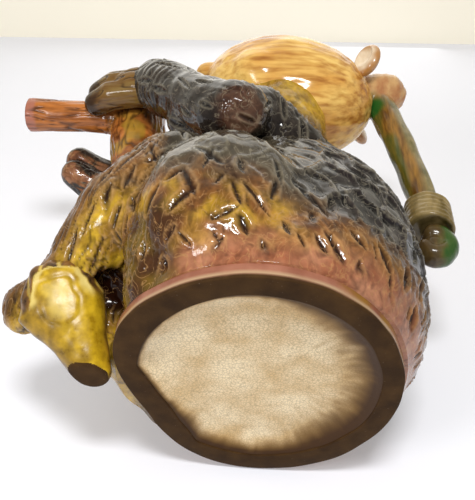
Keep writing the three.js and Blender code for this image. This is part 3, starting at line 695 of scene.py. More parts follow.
def build_foot_ring(clay):
    """The ring: a bare land with a hand-cut edge, and a thin line of glaze up its side."""
    bm = bmesh.new()
    halves = Matrix.Diagonal((RING_WIDTH / 2, RING_LENGTH / 2, 1, 1))
    outer = bmesh.ops.create_circle(bm, segments=FOOT_STEPS, radius=1, matrix=halves)["verts"]
    inner = bmesh.ops.create_circle(bm, segments=FOOT_STEPS, radius=1)["verts"]
    for vert in outer:
        vert.co = trimmed(vert.co)
    for vert in inner:
        vert.co = BORE_CENTRE + vert.co * bore_reach(math.atan2(vert.co.y, vert.co.x))
    rims = list(bm.edges)
    bmesh.ops.bridge_loops(bm, edges=rims)
    for height in RING_LEVELS:
        top, rims = raise_rim(bm, rims)
        for vert in top:
            vert.co.z = height
    bmesh.ops.bridge_loops(bm, edges=rims)
    sharp = [edge for edge in bm.edges if edge.calc_face_angle() > 1]
    bmesh.ops.bevel(bm, geom=sharp, offset=RING_BEVEL, segments=3, profile=0.5, affect="EDGES", material=-1)
    mesh = solid_of(bm)
    places = points_of(mesh)
    reach = np.hypot(places[:, 0], places[:, 1])
    wobble = RING_WOBBLE * swell(places / 13)
    places[:, :2] *= (1 + wobble / reach)[:, None]
    mesh.vertices.foreach_set("co", places.ravel())
    outline = np.array([trimmed(Vector((x, y, 0))).xy.length / math.hypot(x, y) for x, y in places[:, :2]])
    share = np.hypot(places[:, 0] / RING_WIDTH, places[:, 1] / RING_LENGTH) * 2 / outline
    side = ease(0.9, 0.97, share)
    level = places[:, 2] + 0.5 * swell(places / 7)
    glazed = side * ease(*GLAZE_LINE, level)
    amber = ease(10, 40, places[:, 1]) * ease(-0.2, 0.5, swell(places / 9) + 0.3)
    paint(mesh, glazed=glazed, amber=amber, lip=glazed * (1 - ease(*LIP_LINE, level)))
    piece("foot_ring_bare", mesh, [clay], "bare_clay", "foot_ring")


def build_base(glaze):
    """The dish in the ring, stained most at the back."""
    bm = bmesh.new()
    levels = [(DISH_SHARES[-1], BASE_TOP), (1, BASE_TOP)]
    for share in DISH_SHARES:
        depth = DISH_DEPTH * (1 - max(0, (share - DISH_FLAT) / (1 - DISH_FLAT)) ** DISH_CURVE)
        levels.append((share, max(depth + DISH_EDGE * (1 - share), DISH_EDGE)))
    rings = [Matrix.Translation((0, 0, height)) @ Matrix.Diagonal((share, share, 1, 1))
             for share, height in levels]
    loft(bm, rings, FOOT_STEPS)
    for vert in bm.verts:
        reach = bore_reach(math.atan2(vert.co.y, vert.co.x)) + BASE_LAP
        vert.co = BORE_CENTRE + Vector((vert.co.x * reach, vert.co.y * reach, vert.co.z))
    mesh = solid_of(bm)
    places = points_of(mesh)
    flat = places - np.array(BORE_CENTRE)
    angle = np.arctan2(flat[:, 1], flat[:, 0])
    reach = np.array([bore_reach(turn) for turn in angle])
    inset = reach - np.hypot(flat[:, 0], flat[:, 1])
    back = ease(-0.3, 0.9, np.sin(angle + 0.15))
    right = ease(0.2, 1, -np.cos(angle))
    width = STAIN_WIDTH + STAIN_BACK * back + STAIN_RIGHT * right
    streaks = np.stack([angle * 16, inset / 9, np.zeros_like(angle)], axis=1)
    fuzz = 1 + 0.3 * swell(streaks) + 0.35 * swell(places / 6)
    stain = np.clip(1.15 - inset / (width * fuzz), 0, 1)
    paint(mesh, stain=stain)
    piece("base_dish", mesh, [glaze], "cream_glaze", "base_bat")


# Fur

def locks(points, comb, depth):
    """Combed fur with strokes along the comb's third axis: relief in mm, and how deep each point is cut."""
    stroke = swell(comb)
    groove = (1 - ease(0, 0.15, np.abs(stroke))) * ease(-0.3, 0.15, swell(points / 9 + 11))
    lock = ease(0.08, 0.5, np.abs(stroke))
    return depth * (0.6 * lock - groove), groove


def scatter(places, zone, spacing, seed):
    """Places for tool strokes, spread over a zone of the skin with no two closer than the spacing."""
    draw = np.random.default_rng(seed)
    tries = min(6000, np.count_nonzero(zone > 0.01))
    marks = []
    for index in draw.choice(len(places), size=tries, replace=False, p=zone / zone.sum()):
        if not marks or np.linalg.norm(places[marks] - places[index], axis=1).min() > spacing:
            marks.append(index)
    return marks


def gouge(places, normals, marks, guide, half_length, radius, jitter, seed):
    """Strokes of a round tool along the guide: how deep each point is dug, and its raised rim."""
    draw = np.random.default_rng(seed)
    hollow = np.zeros(len(places))
    rim = np.zeros(len(places))
    for mark in marks:
        normal = normals[mark]
        way = guide - normal * (guide @ normal)
        way = way / np.linalg.norm(way)
        turn = draw.uniform(-jitter, jitter)
        way = way * math.cos(turn) + np.cross(normal, way) * math.sin(turn)
        reach = draw.uniform(*half_length)
        width = radius * draw.uniform(0.7, 1.2)
        offset = places - places[mark]
        near = np.flatnonzero((np.abs(offset) < reach + 2 * width).all(axis=1))
        run = np.clip(offset[near] @ way, -reach, reach)
        slim = width * (1 - 0.6 * (run / reach) ** 2)
        far = np.linalg.norm(offset[near] - run[:, None] * way, axis=1) / slim
        hollow[near] = np.maximum(hollow[near], 1 - ease(0.2, 1.1, far))
        rim[near] = np.maximum(rim[near], ease(0.8, 1.25, far) * (1 - ease(1.25, 2, far)))
    return hollow, rim * (1 - hollow)


def shin_comb(points, start, end, width, length):
    """Coordinates round and along a shin, in units of a groove's width and length."""
    way = np.array((Vector(end) - Vector(start)).normalized())
    side = np.array(Vector(way).cross(Vector((1, 0, 0))).normalized())
    other = np.cross(way, side)
    offset = points - np.array(start)
    return np.stack([offset @ side / width, offset @ other / width, offset @ way / length], axis=1)


def facets(places, zone, spacing, flow, seed):
    """Uneven facets drawn out along the flow: how far each point lies inside its facet, 0 at the ridge."""
    warp = np.stack([swell(places / 8 + shift) for shift in (0, 20, 40)], axis=1)
    bent = places + 5 * warp
    bent = bent - 0.35 * np.outer(bent @ flow, flow)
    marks = scatter(bent, zone, spacing, seed)
    tree = KDTree(len(marks))
    for index, mark in enumerate(marks):
        tree.insert(bent[mark], index)
    tree.balance()
    inside = np.zeros(len(places))
    for index in np.flatnonzero(zone > 0.01):
        (_, _, first), (_, _, second) = tree.find_n(bent[index], 2)
        inside[index] = second - first
    return inside


def body_rings(sections, wall, floor):
    """Places of the body's rings, drawn in by the thickness of a wall and no lower than the floor."""
    rings = []
    for height, width, depth, back in sections:
        centre = Vector((0, back, max(height, floor)))
        rings.append(section(centre, Vector((width - wall, 0, 0)), Vector((0, depth - wall, 0))))
    return rings


def coat_form():
    """Body, haunches, shins and left foot pressed into one skin, and cut level where it sits on the ring."""
    bm = bmesh.new()
    root = (COAT_ROOT, *BODY_SECTIONS[0][1:])
    loft(bm, body_rings((root, *BODY_SECTIONS), 0, COAT_ROOT), 64)
    for vert in bm.verts:
        vert.co = trimmed(vert.co, 0.6 * min(max(0, 1 - vert.co.z / 40), 1))
    for side in (1, -1):
        mirrored = Vector((side, 1, 1))
        lump(bm, HAUNCH_PLACE * mirrored, HAUNCH_HALVES)
        lump(bm, THIGH_PLACE * mirrored, THIGH_HALVES)
        lump(bm, GROIN_PLACE * mirrored, GROIN_HALVES)
    lump(bm, APRON_PLACE, APRON_HALVES)
    lump(bm, LAP_PLACE, LAP_HALVES)
    left_calf = LEFT_KNEE.lerp(LEFT_ANKLE, 0.5) + Vector((SHIN_BOW, 2, 0))
    roll(bm, ((LEFT_KNEE, KNEE_RADIUS), (left_calf, LEFT_CALF_RADIUS), (LEFT_ANKLE, LEFT_ANKLE_RADIUS)))
    roll(bm, ((LEFT_ANKLE, *LEFT_INSTEP_HALVES), (LEFT_TOES, *LEFT_TOES_HALVES)))
    right_calf = RIGHT_KNEE.lerp(RIGHT_ANKLE, 0.5) - Vector((SHIN_BOW, 0, 0))
    roll(bm, ((RIGHT_KNEE, KNEE_RADIUS), (right_calf, RIGHT_CALF_RADIUS), (RIGHT_ANKLE, RIGHT_ANKLE_RADIUS)))
    mesh = pressed(bm, grain=0.92, smoothing=4, blend=(2, 20))
    bm = bmesh.new()
    bm.from_mesh(mesh)
    everything = [*bm.verts, *bm.edges, *bm.faces]
    foot = (0, 0, BODY_SECTIONS[0][0])
    bmesh.ops.bisect_plane(bm, geom=everything, plane_co=foot, plane_no=(0, 0, -1), clear_outer=True)
    bmesh.ops.holes_fill(bm, edges=bm.edges)
    return solid_of(bm)


def coat_zones(places):
    """Shares of leg fur, folds beside the legs, neck, slate back, olive shoulder, pink foot and flank."""
    x, y, z = places.T
    cloud = swell(places / 10)
    left_far = along(places, LEFT_KNEE, LEFT_TOES)[1]
    right_far = along(places, RIGHT_KNEE, RIGHT_ANKLE)[1]
    leg = 1 - ease(*LEG_FUR_REACH, np.minimum(left_far, right_far))
    leg = leg * (1 - ease(*LEG_FUR_BACK, y + 3 * cloud))
    groin = ease(*GROIN_FRONT, -y) * ease(*GROIN_SIDE, np.abs(x)) * (1 - ease(*GROIN_TOP, z)) * (1 - leg)
    hem = SLATE_HEM + SLATE_HEM_RISE * np.maximum(0, SLATE_HEM_BACK - y)
    hem = hem + 6 * cloud + 3 * swell(places / 3.5)
    neck = ease(*NECK_LINE, z + 4 * cloud)
    slate = ease(*SLATE_FADE, z - hem) * (1 - leg) * (1 - neck)
    olive = (1 - ease(*OLIVE_BACK, y + 8 * cloud)) * slate * (1 - neck)
    clay = (1 - ease(*PINK_FOOT_TOP, z + 4 * swell(places / 8))) * (1 - leg) * (1 - groin)
    flank = (1 - slate) * (1 - clay) * (1 - leg) * (1 - neck)
    return leg, groin, neck, slate, olive, clay, flank


def build_coat(glaze, liner):
    """The coat in one skin, hollow inside: combed legs, tooled flanks, faceted slate back, gold neck."""
    mesh = coat_form()
    places = points_of(mesh)
    normals = normals_of(mesh)
    x, y, z = places.T
    cloud = swell(places / 10)
    leg, groin, neck, slate, olive, clay, flank = coat_zones(places)
    down = np.array((0, 0.35, -0.94))
    forward = np.array((0, -0.55, -0.84))
    shin = np.array((-0.6, -0.2, -0.77))
    above_foot = ease(*TOOLED_ABOVE, z)
    furred = np.maximum(leg, groin)
    lock, streak = locks(places, shin_comb(places, LEFT_KNEE, LEFT_KNEE + Vector(shin), 2.9, 40), 0.4)
    hair, part = locks(places, shin_comb(places, Vector(), Vector(down), 2.6, 18), 0.45)
    vein = (1 - ease(0, 0.11, np.abs(swell(places / (8, 8, 12))))) * olive
    charcoal = slate * (1 - olive)
    inside = facets(places, charcoal, 9.5, np.array((0, 0.6, -0.8)), 7)
    open_ridge = 0.15 + 0.85 * ease(-0.2, 0.2, swell(places / 7 + 60))
    ridge = (1 - ease(0.2, 1.2, inside)) * charcoal * open_ridge
    scoop = ease(0.4, 4, inside) * charcoal
    pit_far = along(places, *PIT)[1]
    pit = 1 - ease(5, 9, pit_far)
    relief = 0.8 * swell(places / 9) + 0.15 * swell(places / 4)
    relief = relief + lock * furred + 0.6 * hair * flank + 0.4 * vein + 0.4 * ridge - 1.2 * scoop
    relief = relief * above_foot - 4 * pit
    pools = 0.9 * scoop * ease(-0.5, 0, cloud)
    hollow = np.maximum.reduce([0.85 * streak * furred, 0.6 * part * flank, pools])
    crest = np.maximum(0.8 * vein, ridge)
    # Strokes: zone, spacing, direction, half length, radius, spread in radians and depth
    tools = (
        (olive, 14, down, (5, 10), 1.5, 0.4, 0.6),
        (flank * ease(-14, -8, y), 11, down, (2.5, 6), 1.8, 0.5, 0.9),
        (flank * (1 - ease(-14, -8, y)), 10.5, forward, (3, 7), 1.7, 0.5, 0.8),
        (clay, 10, down, (2, 4), 1, 0.3, 0.8),
        (leg, 9, shin, (5, 10), 1.2, 0.15, 0.7),
    )
    for seed, (zone, spacing, way, half_length, radius, jitter, depth) in enumerate(tools):
        marks = scatter(places, zone * above_foot, spacing, seed)
        dug, rim = gouge(places, normals, marks, way, half_length, radius, jitter, seed)
        relief += (0.35 * rim - dug) * depth * above_foot
        hollow = np.maximum(hollow, dug * above_foot)
        crest = np.maximum(crest, rim * above_foot)
    carve(mesh, relief)
    left_share = along(places, LEFT_KNEE, LEFT_TOES)[0]
    middle = 1 - ease(0.2, 0.42, np.abs(left_share - 0.6))
    toes = 0.7 * ease(0.85, 0.95, left_share)
    straw = leg * np.clip(0.25 + toes + middle * ease(-0.3, 0.3, cloud + 0.1), 0, 1)
    shade = ease(-12, 4, (z - 62) * 0.75 - (y + 50) * 0.65 + 4 * cloud)
    forward_side = 0.9 * ease(0.45, 0.85, -normals[:, 1]) * (1 - ease(0.8, 0.95, left_share))
    shade = np.maximum(shade, forward_side) * leg
    honey = flank * ease(-0.2, 0.35, swell(places / 9 + 30)) * (1 - ease(32, 44, z))
    honey = honey * (0.7 - 0.6 * ease(-5, 20, y))
    front = ease(24, 36, -y) * (1 - ease(2, 14, x)) * (1 - ease(14, 20, z))
    paint(mesh, slate=np.maximum(slate, 0.25 * shade), olive=np.maximum(olive, 0.6 * shade))
    yellow = np.maximum.reduce([straw * (1 - shade), honey, front, 0.7 * neck])
    paint(mesh, clay=clay * (1 - front), straw=yellow)
    # Painted shade: the deep hollow is painted black and the folds beside the legs dark, on top of the glaze
    # pooled in strokes and facets
    pools_and_painted_shade = np.maximum.reduce([hollow, 1 - ease(7, 12, pit_far), 0.75 * groin])
    paint(mesh, hollow=pools_and_painted_shade, crest=0.6 * crest * (1 - hollow) * (1 - pit))

    cavity = bmesh.new()
    above_neck = (BODY_SECTIONS[-1][0] + CAVITY_RISE, *BODY_SECTIONS[-1][1:])
    loft(cavity, body_rings((*BODY_SECTIONS[1:], above_neck), WALL, CAVITY_FLOOR), 48)
    mesh = scooped(mesh, cavity)
    nodes = ("body_vessel", "left_haunch", "right_haunch", "left_shin", "right_shin", "left_foot")
    piece("fur_coat", mesh, [glaze, liner], "brown_fur_glaze", *nodes)


def build_arm(name, side, wrist, glaze, node):
    """Upper arm, elbow with a worn patch, and a forearm with rings of hair at the cuff."""
    bm = bmesh.new()
    mirrored = Vector((side, 1, 1))
    shoulder = SHOULDER * mirrored
    elbow = ELBOW * mirrored
    blade = SHOULDER_BLADE * mirrored
    roll(bm, ((blade, ELBOW_RADIUS), (shoulder, SHOULDER_RADIUS), (elbow, ELBOW_RADIUS)))
    forearm = elbow.lerp(wrist, 0.5)
    cuff = elbow.lerp(wrist, 0.86)
    roll(bm, ((elbow, ELBOW_RADIUS), (forearm, FOREARM_RADIUS), (cuff, CUFF_RADIUS), (wrist, WRIST_RADIUS)))
    lump(bm, elbow + Vector((side * 2, 4, -1)), Vector((ELBOW_RADIUS, ELBOW_RADIUS, ELBOW_RADIUS)))
    lump(bm, elbow.lerp(wrist, 0.45) + Vector((-side * 6, 2, -7)), FOREARM_SWELL)
    mesh = pressed(bm, grain=0.75, smoothing=20)
    places = points_of(mesh)
    normals = normals_of(mesh)
    share = along(places, elbow, wrist)[0]
    way = np.array((wrist - elbow).normalized())
    everywhere = np.ones(len(places))
    marks = scatter(places, everywhere, 12, 11)
    hollow, crest = gouge(places, normals, marks, way, (4, 9), 1.3, 0.35, 12)
    lock, streak = locks(places, shin_comb(places, elbow, wrist, 2.8, 20), 0.28)
    hair = np.sin(share * 95 + 5 * swell(places / 7)) * ease(*CUFF_HAIR, share)
    worn = np.array(elbow + Vector((side * 9, 6, -9)))
    bare = np.linalg.norm(places - worn, axis=1) + 3 * swell(places / 6)
    rings = np.cos(bare * 1.5) * (1 - ease(7, 12, bare))
    tuft = lock * (1 - ease(*CUFF_HAIR, share))
    carve(mesh, 0.3 * crest - 0.7 * hollow + 0.2 * hair + tuft + 0.25 * rings + 0.7 * swell(places / 8))
    bare = 0.2 * (1 - ease(6, 13, bare))
    paint(mesh, slate=1 - bare, olive=0.25 + 0.5 * (1 - ease(-0.5, 0, share)))
    paint(mesh, clay=everywhere, straw=0 * everywhere)
    dark = np.maximum(0.8 * hollow, 0.6 * streak)
    paint(mesh, hollow=dark, crest=np.maximum(0.5 * crest * (1 - hollow), 0.25 * ease(0.5, 1, hair)))
    piece(name, mesh, [glaze], "grey_fur_glaze", node)


def build_forepaw(name, side, wrist, tip, thickness, glaze, slot, node):
    """A mitten of a paw: thick fingers that lie along the branch; those of the right paw show tan pads."""
    bm = bmesh.new()
    lump(bm, wrist.lerp(tip, 0.25), PALM_HALVES)
    for index in range(PAW_FINGERS):
        height = (index - (PAW_FINGERS - 1) / 2) * 1.25 * thickness
        wrap = -side * 0.05 * height * height
        start = wrist.lerp(tip, 0.3) + Vector((0, 0, height))
        middle = wrist.lerp(tip, 0.72) + Vector((wrap + side * 1.5, 0, height))
        end = tip + Vector((wrap - side * 1.5, 0.06 * height * height, height))
        roll(bm, ((start, thickness), (middle, thickness), (end, thickness * 0.9)), sides=16)
    mesh = pressed(bm, grain=0.55, smoothing=6)
    places = points_of(mesh)
    share = along(places, wrist, tip)[0]
    relief, groove = locks(places, shin_comb(places, wrist, tip, 2.6, 16), 0.4)
    carve(mesh, relief * (1 - ease(0.75, 1, share)))
    ends = ease(0.75, 1.05, share + 0.08 * swell(places / 4))
    none = np.zeros(len(places))
    facing = normals_of(mesh) @ np.array((0.75, -0.25, -0.61))
    pad = ease(0.68, 0.86, facing + 0.12 * swell(places / 4)) * ease(0.4, 0.65, share) * (side < 0)
    paint(mesh, dark=np.clip(0.78 + 0.22 * ends + 0.3 * groove, 0, 1))
    paint(mesh, slate=1 - 0.85 * pad, olive=0.3 + none, clay=0.6 * pad, straw=none)
    paint(mesh, hollow=0.6 * groove, crest=none)
    piece(name, mesh, [glaze], slot, node)


def build_sole(glaze, clay):
    """The right foot: heel on the ground, sole turned to the bear's left, toes along its upper edge."""
    bm = bmesh.new()
    way = (SOLE_TOES - HEEL).normalized()
    across = way.cross(SOLE_WAY).normalized()
    arch = HEEL.lerp(SOLE_TOES, 0.3) + Vector((0, -1, 0))
    ball = HEEL.lerp(SOLE_TOES, 0.64) + Vector((0, -4, 0))
    front = HEEL.lerp(SOLE_TOES, 0.93) + Vector((0, -2, 0))
    stops = ((HEEL, *HEEL_HALVES), (arch, *ARCH_HALVES), (ball, *BALL_HALVES), (front, *FRONT_HALVES))
    roll(bm, stops, across=SOLE_WAY)
    everything = [*bm.verts, *bm.edges, *bm.faces]
    bmesh.ops.bisect_plane(bm, geom=everything, plane_co=(0, 0, 0.1), plane_no=(0, 0, -1), clear_outer=True)
    bmesh.ops.holes_fill(bm, edges=bm.edges)
    mesh = pressed(bm, grain=0.6, smoothing=14)
    places = points_of(mesh)
    offset = places - np.array(ball)
    up = offset @ np.array(way)
    wide = offset @ np.array(across)
    cloud = swell(places / 6)
    above_ground = ease(0.6, 2, places[:, 2])
    facing = normals_of(mesh) @ np.array(SOLE_WAY) + 0.04 * swell(places / 3)
    swirl = np.hypot((up - 1) / 1.3, wide) + 3 * cloud
    groove = ease(6.5, 7.5, swirl) * (1 - ease(7.5, 9, swirl)) * ease(0.8, 0.95, facing)
    front_half = ease(0, 5, up + 0.12 * wide ** 2 / 8)
    band = (1 - ease(0.84, 0.9, facing)) * front_half
    toe = np.cos(wide * 1.05 + 2 * cloud)
    carve(mesh, (-0.2 * groove + 0.4 * cloud + 0.35 * band * toe) * above_ground)
    rim = 1 - ease(0.15, 0.75, facing + 0.25 * cloud)
    lip = ease(0.82, 0.87, facing) * (1 - ease(0.9, 0.94, facing)) * front_half * ease(-0.5, 0, cloud)
    gaps = 0.5 * band * ease(0.8, 0.98, -toe)
    cream = np.maximum.reduce([0.45 * (1 - ease(3, 7, swirl)), 0.8 * lip, gaps])
    tinge = 0.55 * ease(1, 9, -wide - 0.3 * up + 4 * cloud)
    brown = np.maximum.reduce([0.85 * rim, band * ease(-0.97, -0.7, toe), tinge]) * (1 - lip)
    paint(mesh, hollow=0.35 * groove, brown=brown, cream=cream)
    none = np.zeros(len(places))
    paint(mesh, glazed=none, amber=none, lip=none)
    for face in mesh.polygons:
        face.material_index = int(face.center.z < 0.9)
    piece("right_foot_sole", mesh, [glaze, clay], "yellow_glaze", "right_foot")


def build_branch(glaze):
    """A thick upright stem and a sawn limb that points forward."""
    bm = bmesh.new()
    stem_foot, stem_top, stem_radius = STEM
    limb_start, limb_end, limb_radius = LIMB
    stem_middle = stem_foot.lerp(stem_top, 0.5)
    roll(bm, ((stem_foot, stem_radius * 0.9), (stem_middle, stem_radius), (stem_top, stem_radius)))
    limb_middle = limb_start.lerp(limb_end, 0.5)
    limb = (
        (limb_start, limb_radius * 1.1),
        (limb_middle, limb_radius * 0.95),
        (limb_end, limb_radius * 1.05),
    )
    roll(bm, limb, round_end=False)
    lump(bm, *BURR)
    mesh = pressed(bm, grain=0.7, smoothing=6)
    places = points_of(mesh)
    upright = ease(*BARK_TURN, places[:, 1])
    comb = places / (2.8, 18, 2.8) * (1 - upright)[:, None] + places / (3.4, 3.4, 16) * upright[:, None]
    relief, groove = locks(places, comb, 0.5)
    tip = limb_end.y
    face = 1 - ease(tip + 0.3, tip + 1, places[:, 1])
    carve(mesh, relief * (1 - face))
    end = 1 - ease(tip + 4, tip + 6, places[:, 1] + swell(places / 4))
    straw = upright * ease(-0.15, 0.25, swell(places / 9 + 4)) * (1 - ease(140, 150, places[:, 2]))
    shade = 0.45 * upright * ease(0, 0.4, swell(places / 8 + 9) + 0.2)
    reach = np.hypot(places[:, 0] - limb_end.x, places[:, 2] - limb_end.z)
    growth = 0.5 + 0.5 * np.cos(reach * 3 + 2 * swell(places / 4))
    hollow = np.maximum.reduce([0.8 * groove * (1 - face), shade * (1 - face), 0.35 * growth * face])
    paint(mesh, hollow=hollow, end=end, straw=0.75 * straw)
    piece("lopped_branch", mesh, [glaze], "branch_glaze", "branch")


# Head

def on_head(left, forward, up, side=1):
    """A place on the head, in shares of its half sizes; on its right where side is -1."""
    local = Vector((side * left * HEAD_HALVES.x, -forward * HEAD_HALVES.y, up * HEAD_HALVES.z))
    return HEAD_CENTRE + HEAD_TURN @ local


def build_head(glaze, liner):
    """The hollow head with its muzzle and jaw, open at the mouth and the neck."""
    bm = bmesh.new()
    lump(bm, HEAD_CENTRE, HEAD_HALVES, HEAD_TURN)
    for place, halves in (MUZZLE, JAW):
        lump(bm, on_head(*place), halves, HEAD_TURN)
    for side in (1, -1):
        for place, halves in (CHEEK, BROW, LIP):
            lump(bm, on_head(*place, side), halves, HEAD_TURN)
    mesh = pressed(bm, grain=0.9, smoothing=10)
    places = points_of(mesh)
    fine = swell(places / (3.2, 22, 3.2))
    carve(mesh, 0.35 * fine + 0.3 * swell(places / 8))
    sockets = [np.linalg.norm(places - np.array(on_head(*EYE[0], side)), axis=1) for side in (1, -1)]
    mouth = (places - np.array(on_head(0, 1, MOUTH_UP))) / (14, 20, 10)
    rim = 1 - ease(0.75, 1.15, np.linalg.norm(mouth, axis=1))
    paint(mesh, dark=np.maximum(0.6 * (1 - ease(4.5, 9, np.minimum(*sockets))), 0.4 * rim))
    hollow = bmesh.new()
    lump(hollow, HEAD_CENTRE, HEAD_HALVES - Vector((WALL, WALL, WALL)), HEAD_TURN)
    roll(hollow, ((on_head(0, 0.3, MOUTH_UP), *MOUTH_HALVES), (on_head(0, 1.5, MOUTH_UP), *MOUTH_HALVES)))
    neck = bmesh.new()
    roll(neck, [(place, *NECK_BORE_HALVES) for place in NECK_BORE], round_start=False)
    mesh = scooped(mesh, hollow)
    mesh = scooped(mesh, neck)
    piece("bear_head", mesh, [glaze, liner], "honey_glaze", "head_shell", "muzzle", "lower_jaw")


def build_face(glaze):
    """Two eyes and a nose."""
    for name, side in (("left_eye", 1), ("right_eye", -1)):
        bm = bmesh.new()
        for place, halves in (EYE, EYE_BULGE):
            lump(bm, on_head(*place, side), halves, HEAD_TURN)
        mesh = pressed(bm, grain=0.5, smoothing=4)
        piece(name + "_bead", mesh, [glaze], "black_glaze", name)
    bm = bmesh.new()
    for place, halves in (NOSE, NOSE_BRIDGE):
        lump(bm, on_head(*place), halves, HEAD_TURN)
    mesh = pressed(bm, grain=0.5, smoothing=4)
    nostrils = bmesh.new()
    place, halves = NOSTRIL
    for side in (1, -1):
        lump(nostrils, on_head(*place, side), halves, HEAD_TURN)
    mesh = scooped(mesh, nostrils)
    piece("nose_tip", mesh, [glaze, glaze], "black_glaze", "nose")


def build_ear(name, side, glaze):
    """A small cupped ear."""
    lean = Matrix.Rotation(side * math.radians(EAR_LEAN), 3, "Y")
    twist = Matrix.Rotation(side * math.radians(EAR_TWIST), 3, "Z")
    turn = HEAD_TURN @ lean @ twist
    place = on_head(*EAR_PLACE, side)
    bm = bmesh.new()
    lump(bm, place, EAR_HALVES, turn)
    mesh = pressed(bm, grain=0.55, smoothing=6)
    cup = bmesh.new()
    lump(cup, place + turn @ EAR_CUP_PLACE, EAR_CUP_HALVES, turn)
    mesh = scooped(mesh, cup)
    mesh = finished(mesh, ("SMOOTH", {"factor": 0.5, "iterations": 6}))
    places = points_of(mesh)
    local = (places - np.array(place)) @ np.array(turn)
    reach = np.hypot(local[:, 0] / EAR_HALVES.x, local[:, 2] / EAR_HALVES.z)
    tan = ease(0.62, 0.95, reach + 0.12 * swell(places / 4))
    paint(mesh, tan=tan)
    piece(name + "_cup", mesh, [glaze, glaze], "ear_glaze", name)


# Handle

def build_handle(glaze):
    """The twig of the handle, and the stump on the back of the head that it grows from."""
    bm = bmesh.new()
    roll(bm, HANDLE_STOPS)
    roll(bm, STUMP_STOPS)
    mesh = pressed(bm, grain=0.7, smoothing=8)
    places = points_of(mesh)
    knots = swell(places / (6, 6, 17))
    carve(mesh, 0.7 * knots + 0.3 * swell(places / (2.4, 2.4, 20)))
    line = np.interp(places[:, 2], [stop[0][2] for stop in HANDLE_STOPS[::-1]],
                     [stop[0][1] for stop in HANDLE_STOPS[::-1]])
    front = line - places[:, 1] + 3 * swell(places / (7, 7, 18))
    stump = ease(*STUMP_FOOT, places[:, 2] + 2 * swell(places / 5))
    rust = ease(-3, 2, front) * (1 - stump)
    pool = 1 - ease(4, 9, np.linalg.norm((places - POOL_PLACE) / (1.3, 1, 1), axis=1))
    pool = np.maximum(pool, 0.5 * ease(3.5, 6, front) * (1 - stump))
    paint(mesh, rust=rust, green=pool * (1 - 0.5 * stump), honey=stump, hollow=np.zeros(len(places)))
    piece("twig_handle", mesh, [glaze], "olive_glaze", "handle")


def build_binding(glaze):
    """Cords wound round the foot of the twig."""
    bm = bmesh.new()
    pitch = BINDING_LENGTH / BINDING_RINGS
    axis_foot = Vector((0, BINDING_BACK, BINDING_FOOT))
    core = BINDING_RADIUS - BINDING_CORD - 0.1
    roll(bm, ((axis_foot, core), (axis_foot + Vector((0, 0, BINDING_LENGTH)), core)), round_start=False,
         round_end=False, sides=40)
    lean = Matrix.Rotation(math.radians(BINDING_LEAN), 4, "X")
    upright = Matrix.Translation((core, 0, 0)) @ Matrix.Rotation(math.pi / 2, 4, "X")
    for ring in range(BINDING_RINGS):
        before = set(bm.verts)
        cord = bmesh.ops.create_circle(bm, segments=12, radius=BINDING_CORD, matrix=upright)["verts"]
        edges = list({edge for vert in cord for edge in vert.link_edges})
        bmesh.ops.spin(bm, geom=[*cord, *edges], cent=(0, 0, 0), axis=(0, 0, 1), angle=2 * math.pi, steps=48,
                       use_merge=True)
        centre = axis_foot + Vector((0, 0, pitch * (ring + 0.5)))
        wound = [vert for vert in bm.verts if vert not in before]
        bmesh.ops.transform(bm, matrix=Matrix.Translation(centre) @ lean, verts=wound)
    mesh = pressed(bm, grain=0.5, smoothing=3)
    places = points_of(mesh)
    carve(mesh, 0.25 * swell(places / (5, 5, 1.5)))
    reach = np.hypot(places[:, 0], places[:, 1] - BINDING_BACK)
    groove = 1 - ease(core, BINDING_RADIUS - 0.4, reach)
    # The side toward the jug's back is darkened a little with painted shade
    front = 1 - ease(64, 74, places[:, 1] + 3 * swell(places / 5))
    none = np.zeros(len(places))
    paint(mesh, rust=none, green=none, honey=0.15 + none, hollow=np.clip(0.5 * groove + 0.15 * front, 0, 1))
    piece("handle_wrapping", mesh, [glaze], "olive_glaze", "handle_binding")


def build_scroll(glaze):
    """The curled end of the twig, wound in on itself."""
    bm = bmesh.new()
    stops = []
    for stop in range(SCROLL_STOPS):
        share = stop / (SCROLL_STOPS - 1)
        angle = math.radians(90 - SCROLL_TURN * share)
        curl = SCROLL_CURL * (1 - 0.35 * share)
        place = SCROLL_CENTRE + Vector((0, curl * math.cos(angle), curl * math.sin(angle)))
        stops.append((place, *(SCROLL_HALVES - SCROLL_TAPER * share)))
    roll(bm, stops)
    lump(bm, SCROLL_CENTRE, SCROLL_EYE_HALVES)
    mesh = pressed(bm, grain=0.5, smoothing=5)
    places = points_of(mesh)
    carve(mesh, 0.35 * swell(places / 5))
    green = ease(70, 75, places[:, 1] + 2.5 * swell(places / 4))
    none = np.zeros(len(places))
    # The side away from the green, toward the jug, is darkened with painted shade
    paint(mesh, rust=0.6 + none, green=0.85 * green, honey=0.2 * (1 - green), hollow=0.75 * (1 - green))
    piece("handle_curl", mesh, [glaze], "olive_glaze", "handle_scroll")


# Stage

# The camera looks from the bear's left and from below the foot; its focal length is in pixels of the photo
CAMERA_PLACE = Vector((206.12, 2.8, -138.13))
CAMERA_BELOW = math.radians(45)
CAMERA_LEAN = math.radians(4)
CAMERA_RIGHT = Vector((0, 1, 0))
CAMERA_TOP = Vector((math.sin(CAMERA_BELOW), 0, math.cos(CAMERA_BELOW)))
CAMERA_AXES = Matrix((CAMERA_RIGHT, CAMERA_TOP, CAMERA_RIGHT.cross(CAMERA_TOP))).transposed()
CAMERA_TURN = Matrix.Rotation(CAMERA_LEAN, 3, "X") @ CAMERA_AXES
CAMERA_FOCUS_PIXELS = 700
PHOTO_TALL_PIXELS = 500
TABLE_UP = Vector((0.981, 0, 0.192)).normalized()
VIEW = CAMERA_TURN @ Vector((0, 0, -1))
TABLE_FORWARD = (VIEW - TABLE_UP * VIEW.dot(TABLE_UP)).normalized()
TABLE_TOUCH = Vector((-57.6, 0, 0))
WALL_DISTANCE = 560
SHEET_REACH = 2500
FLOOR_DROP = 0.2
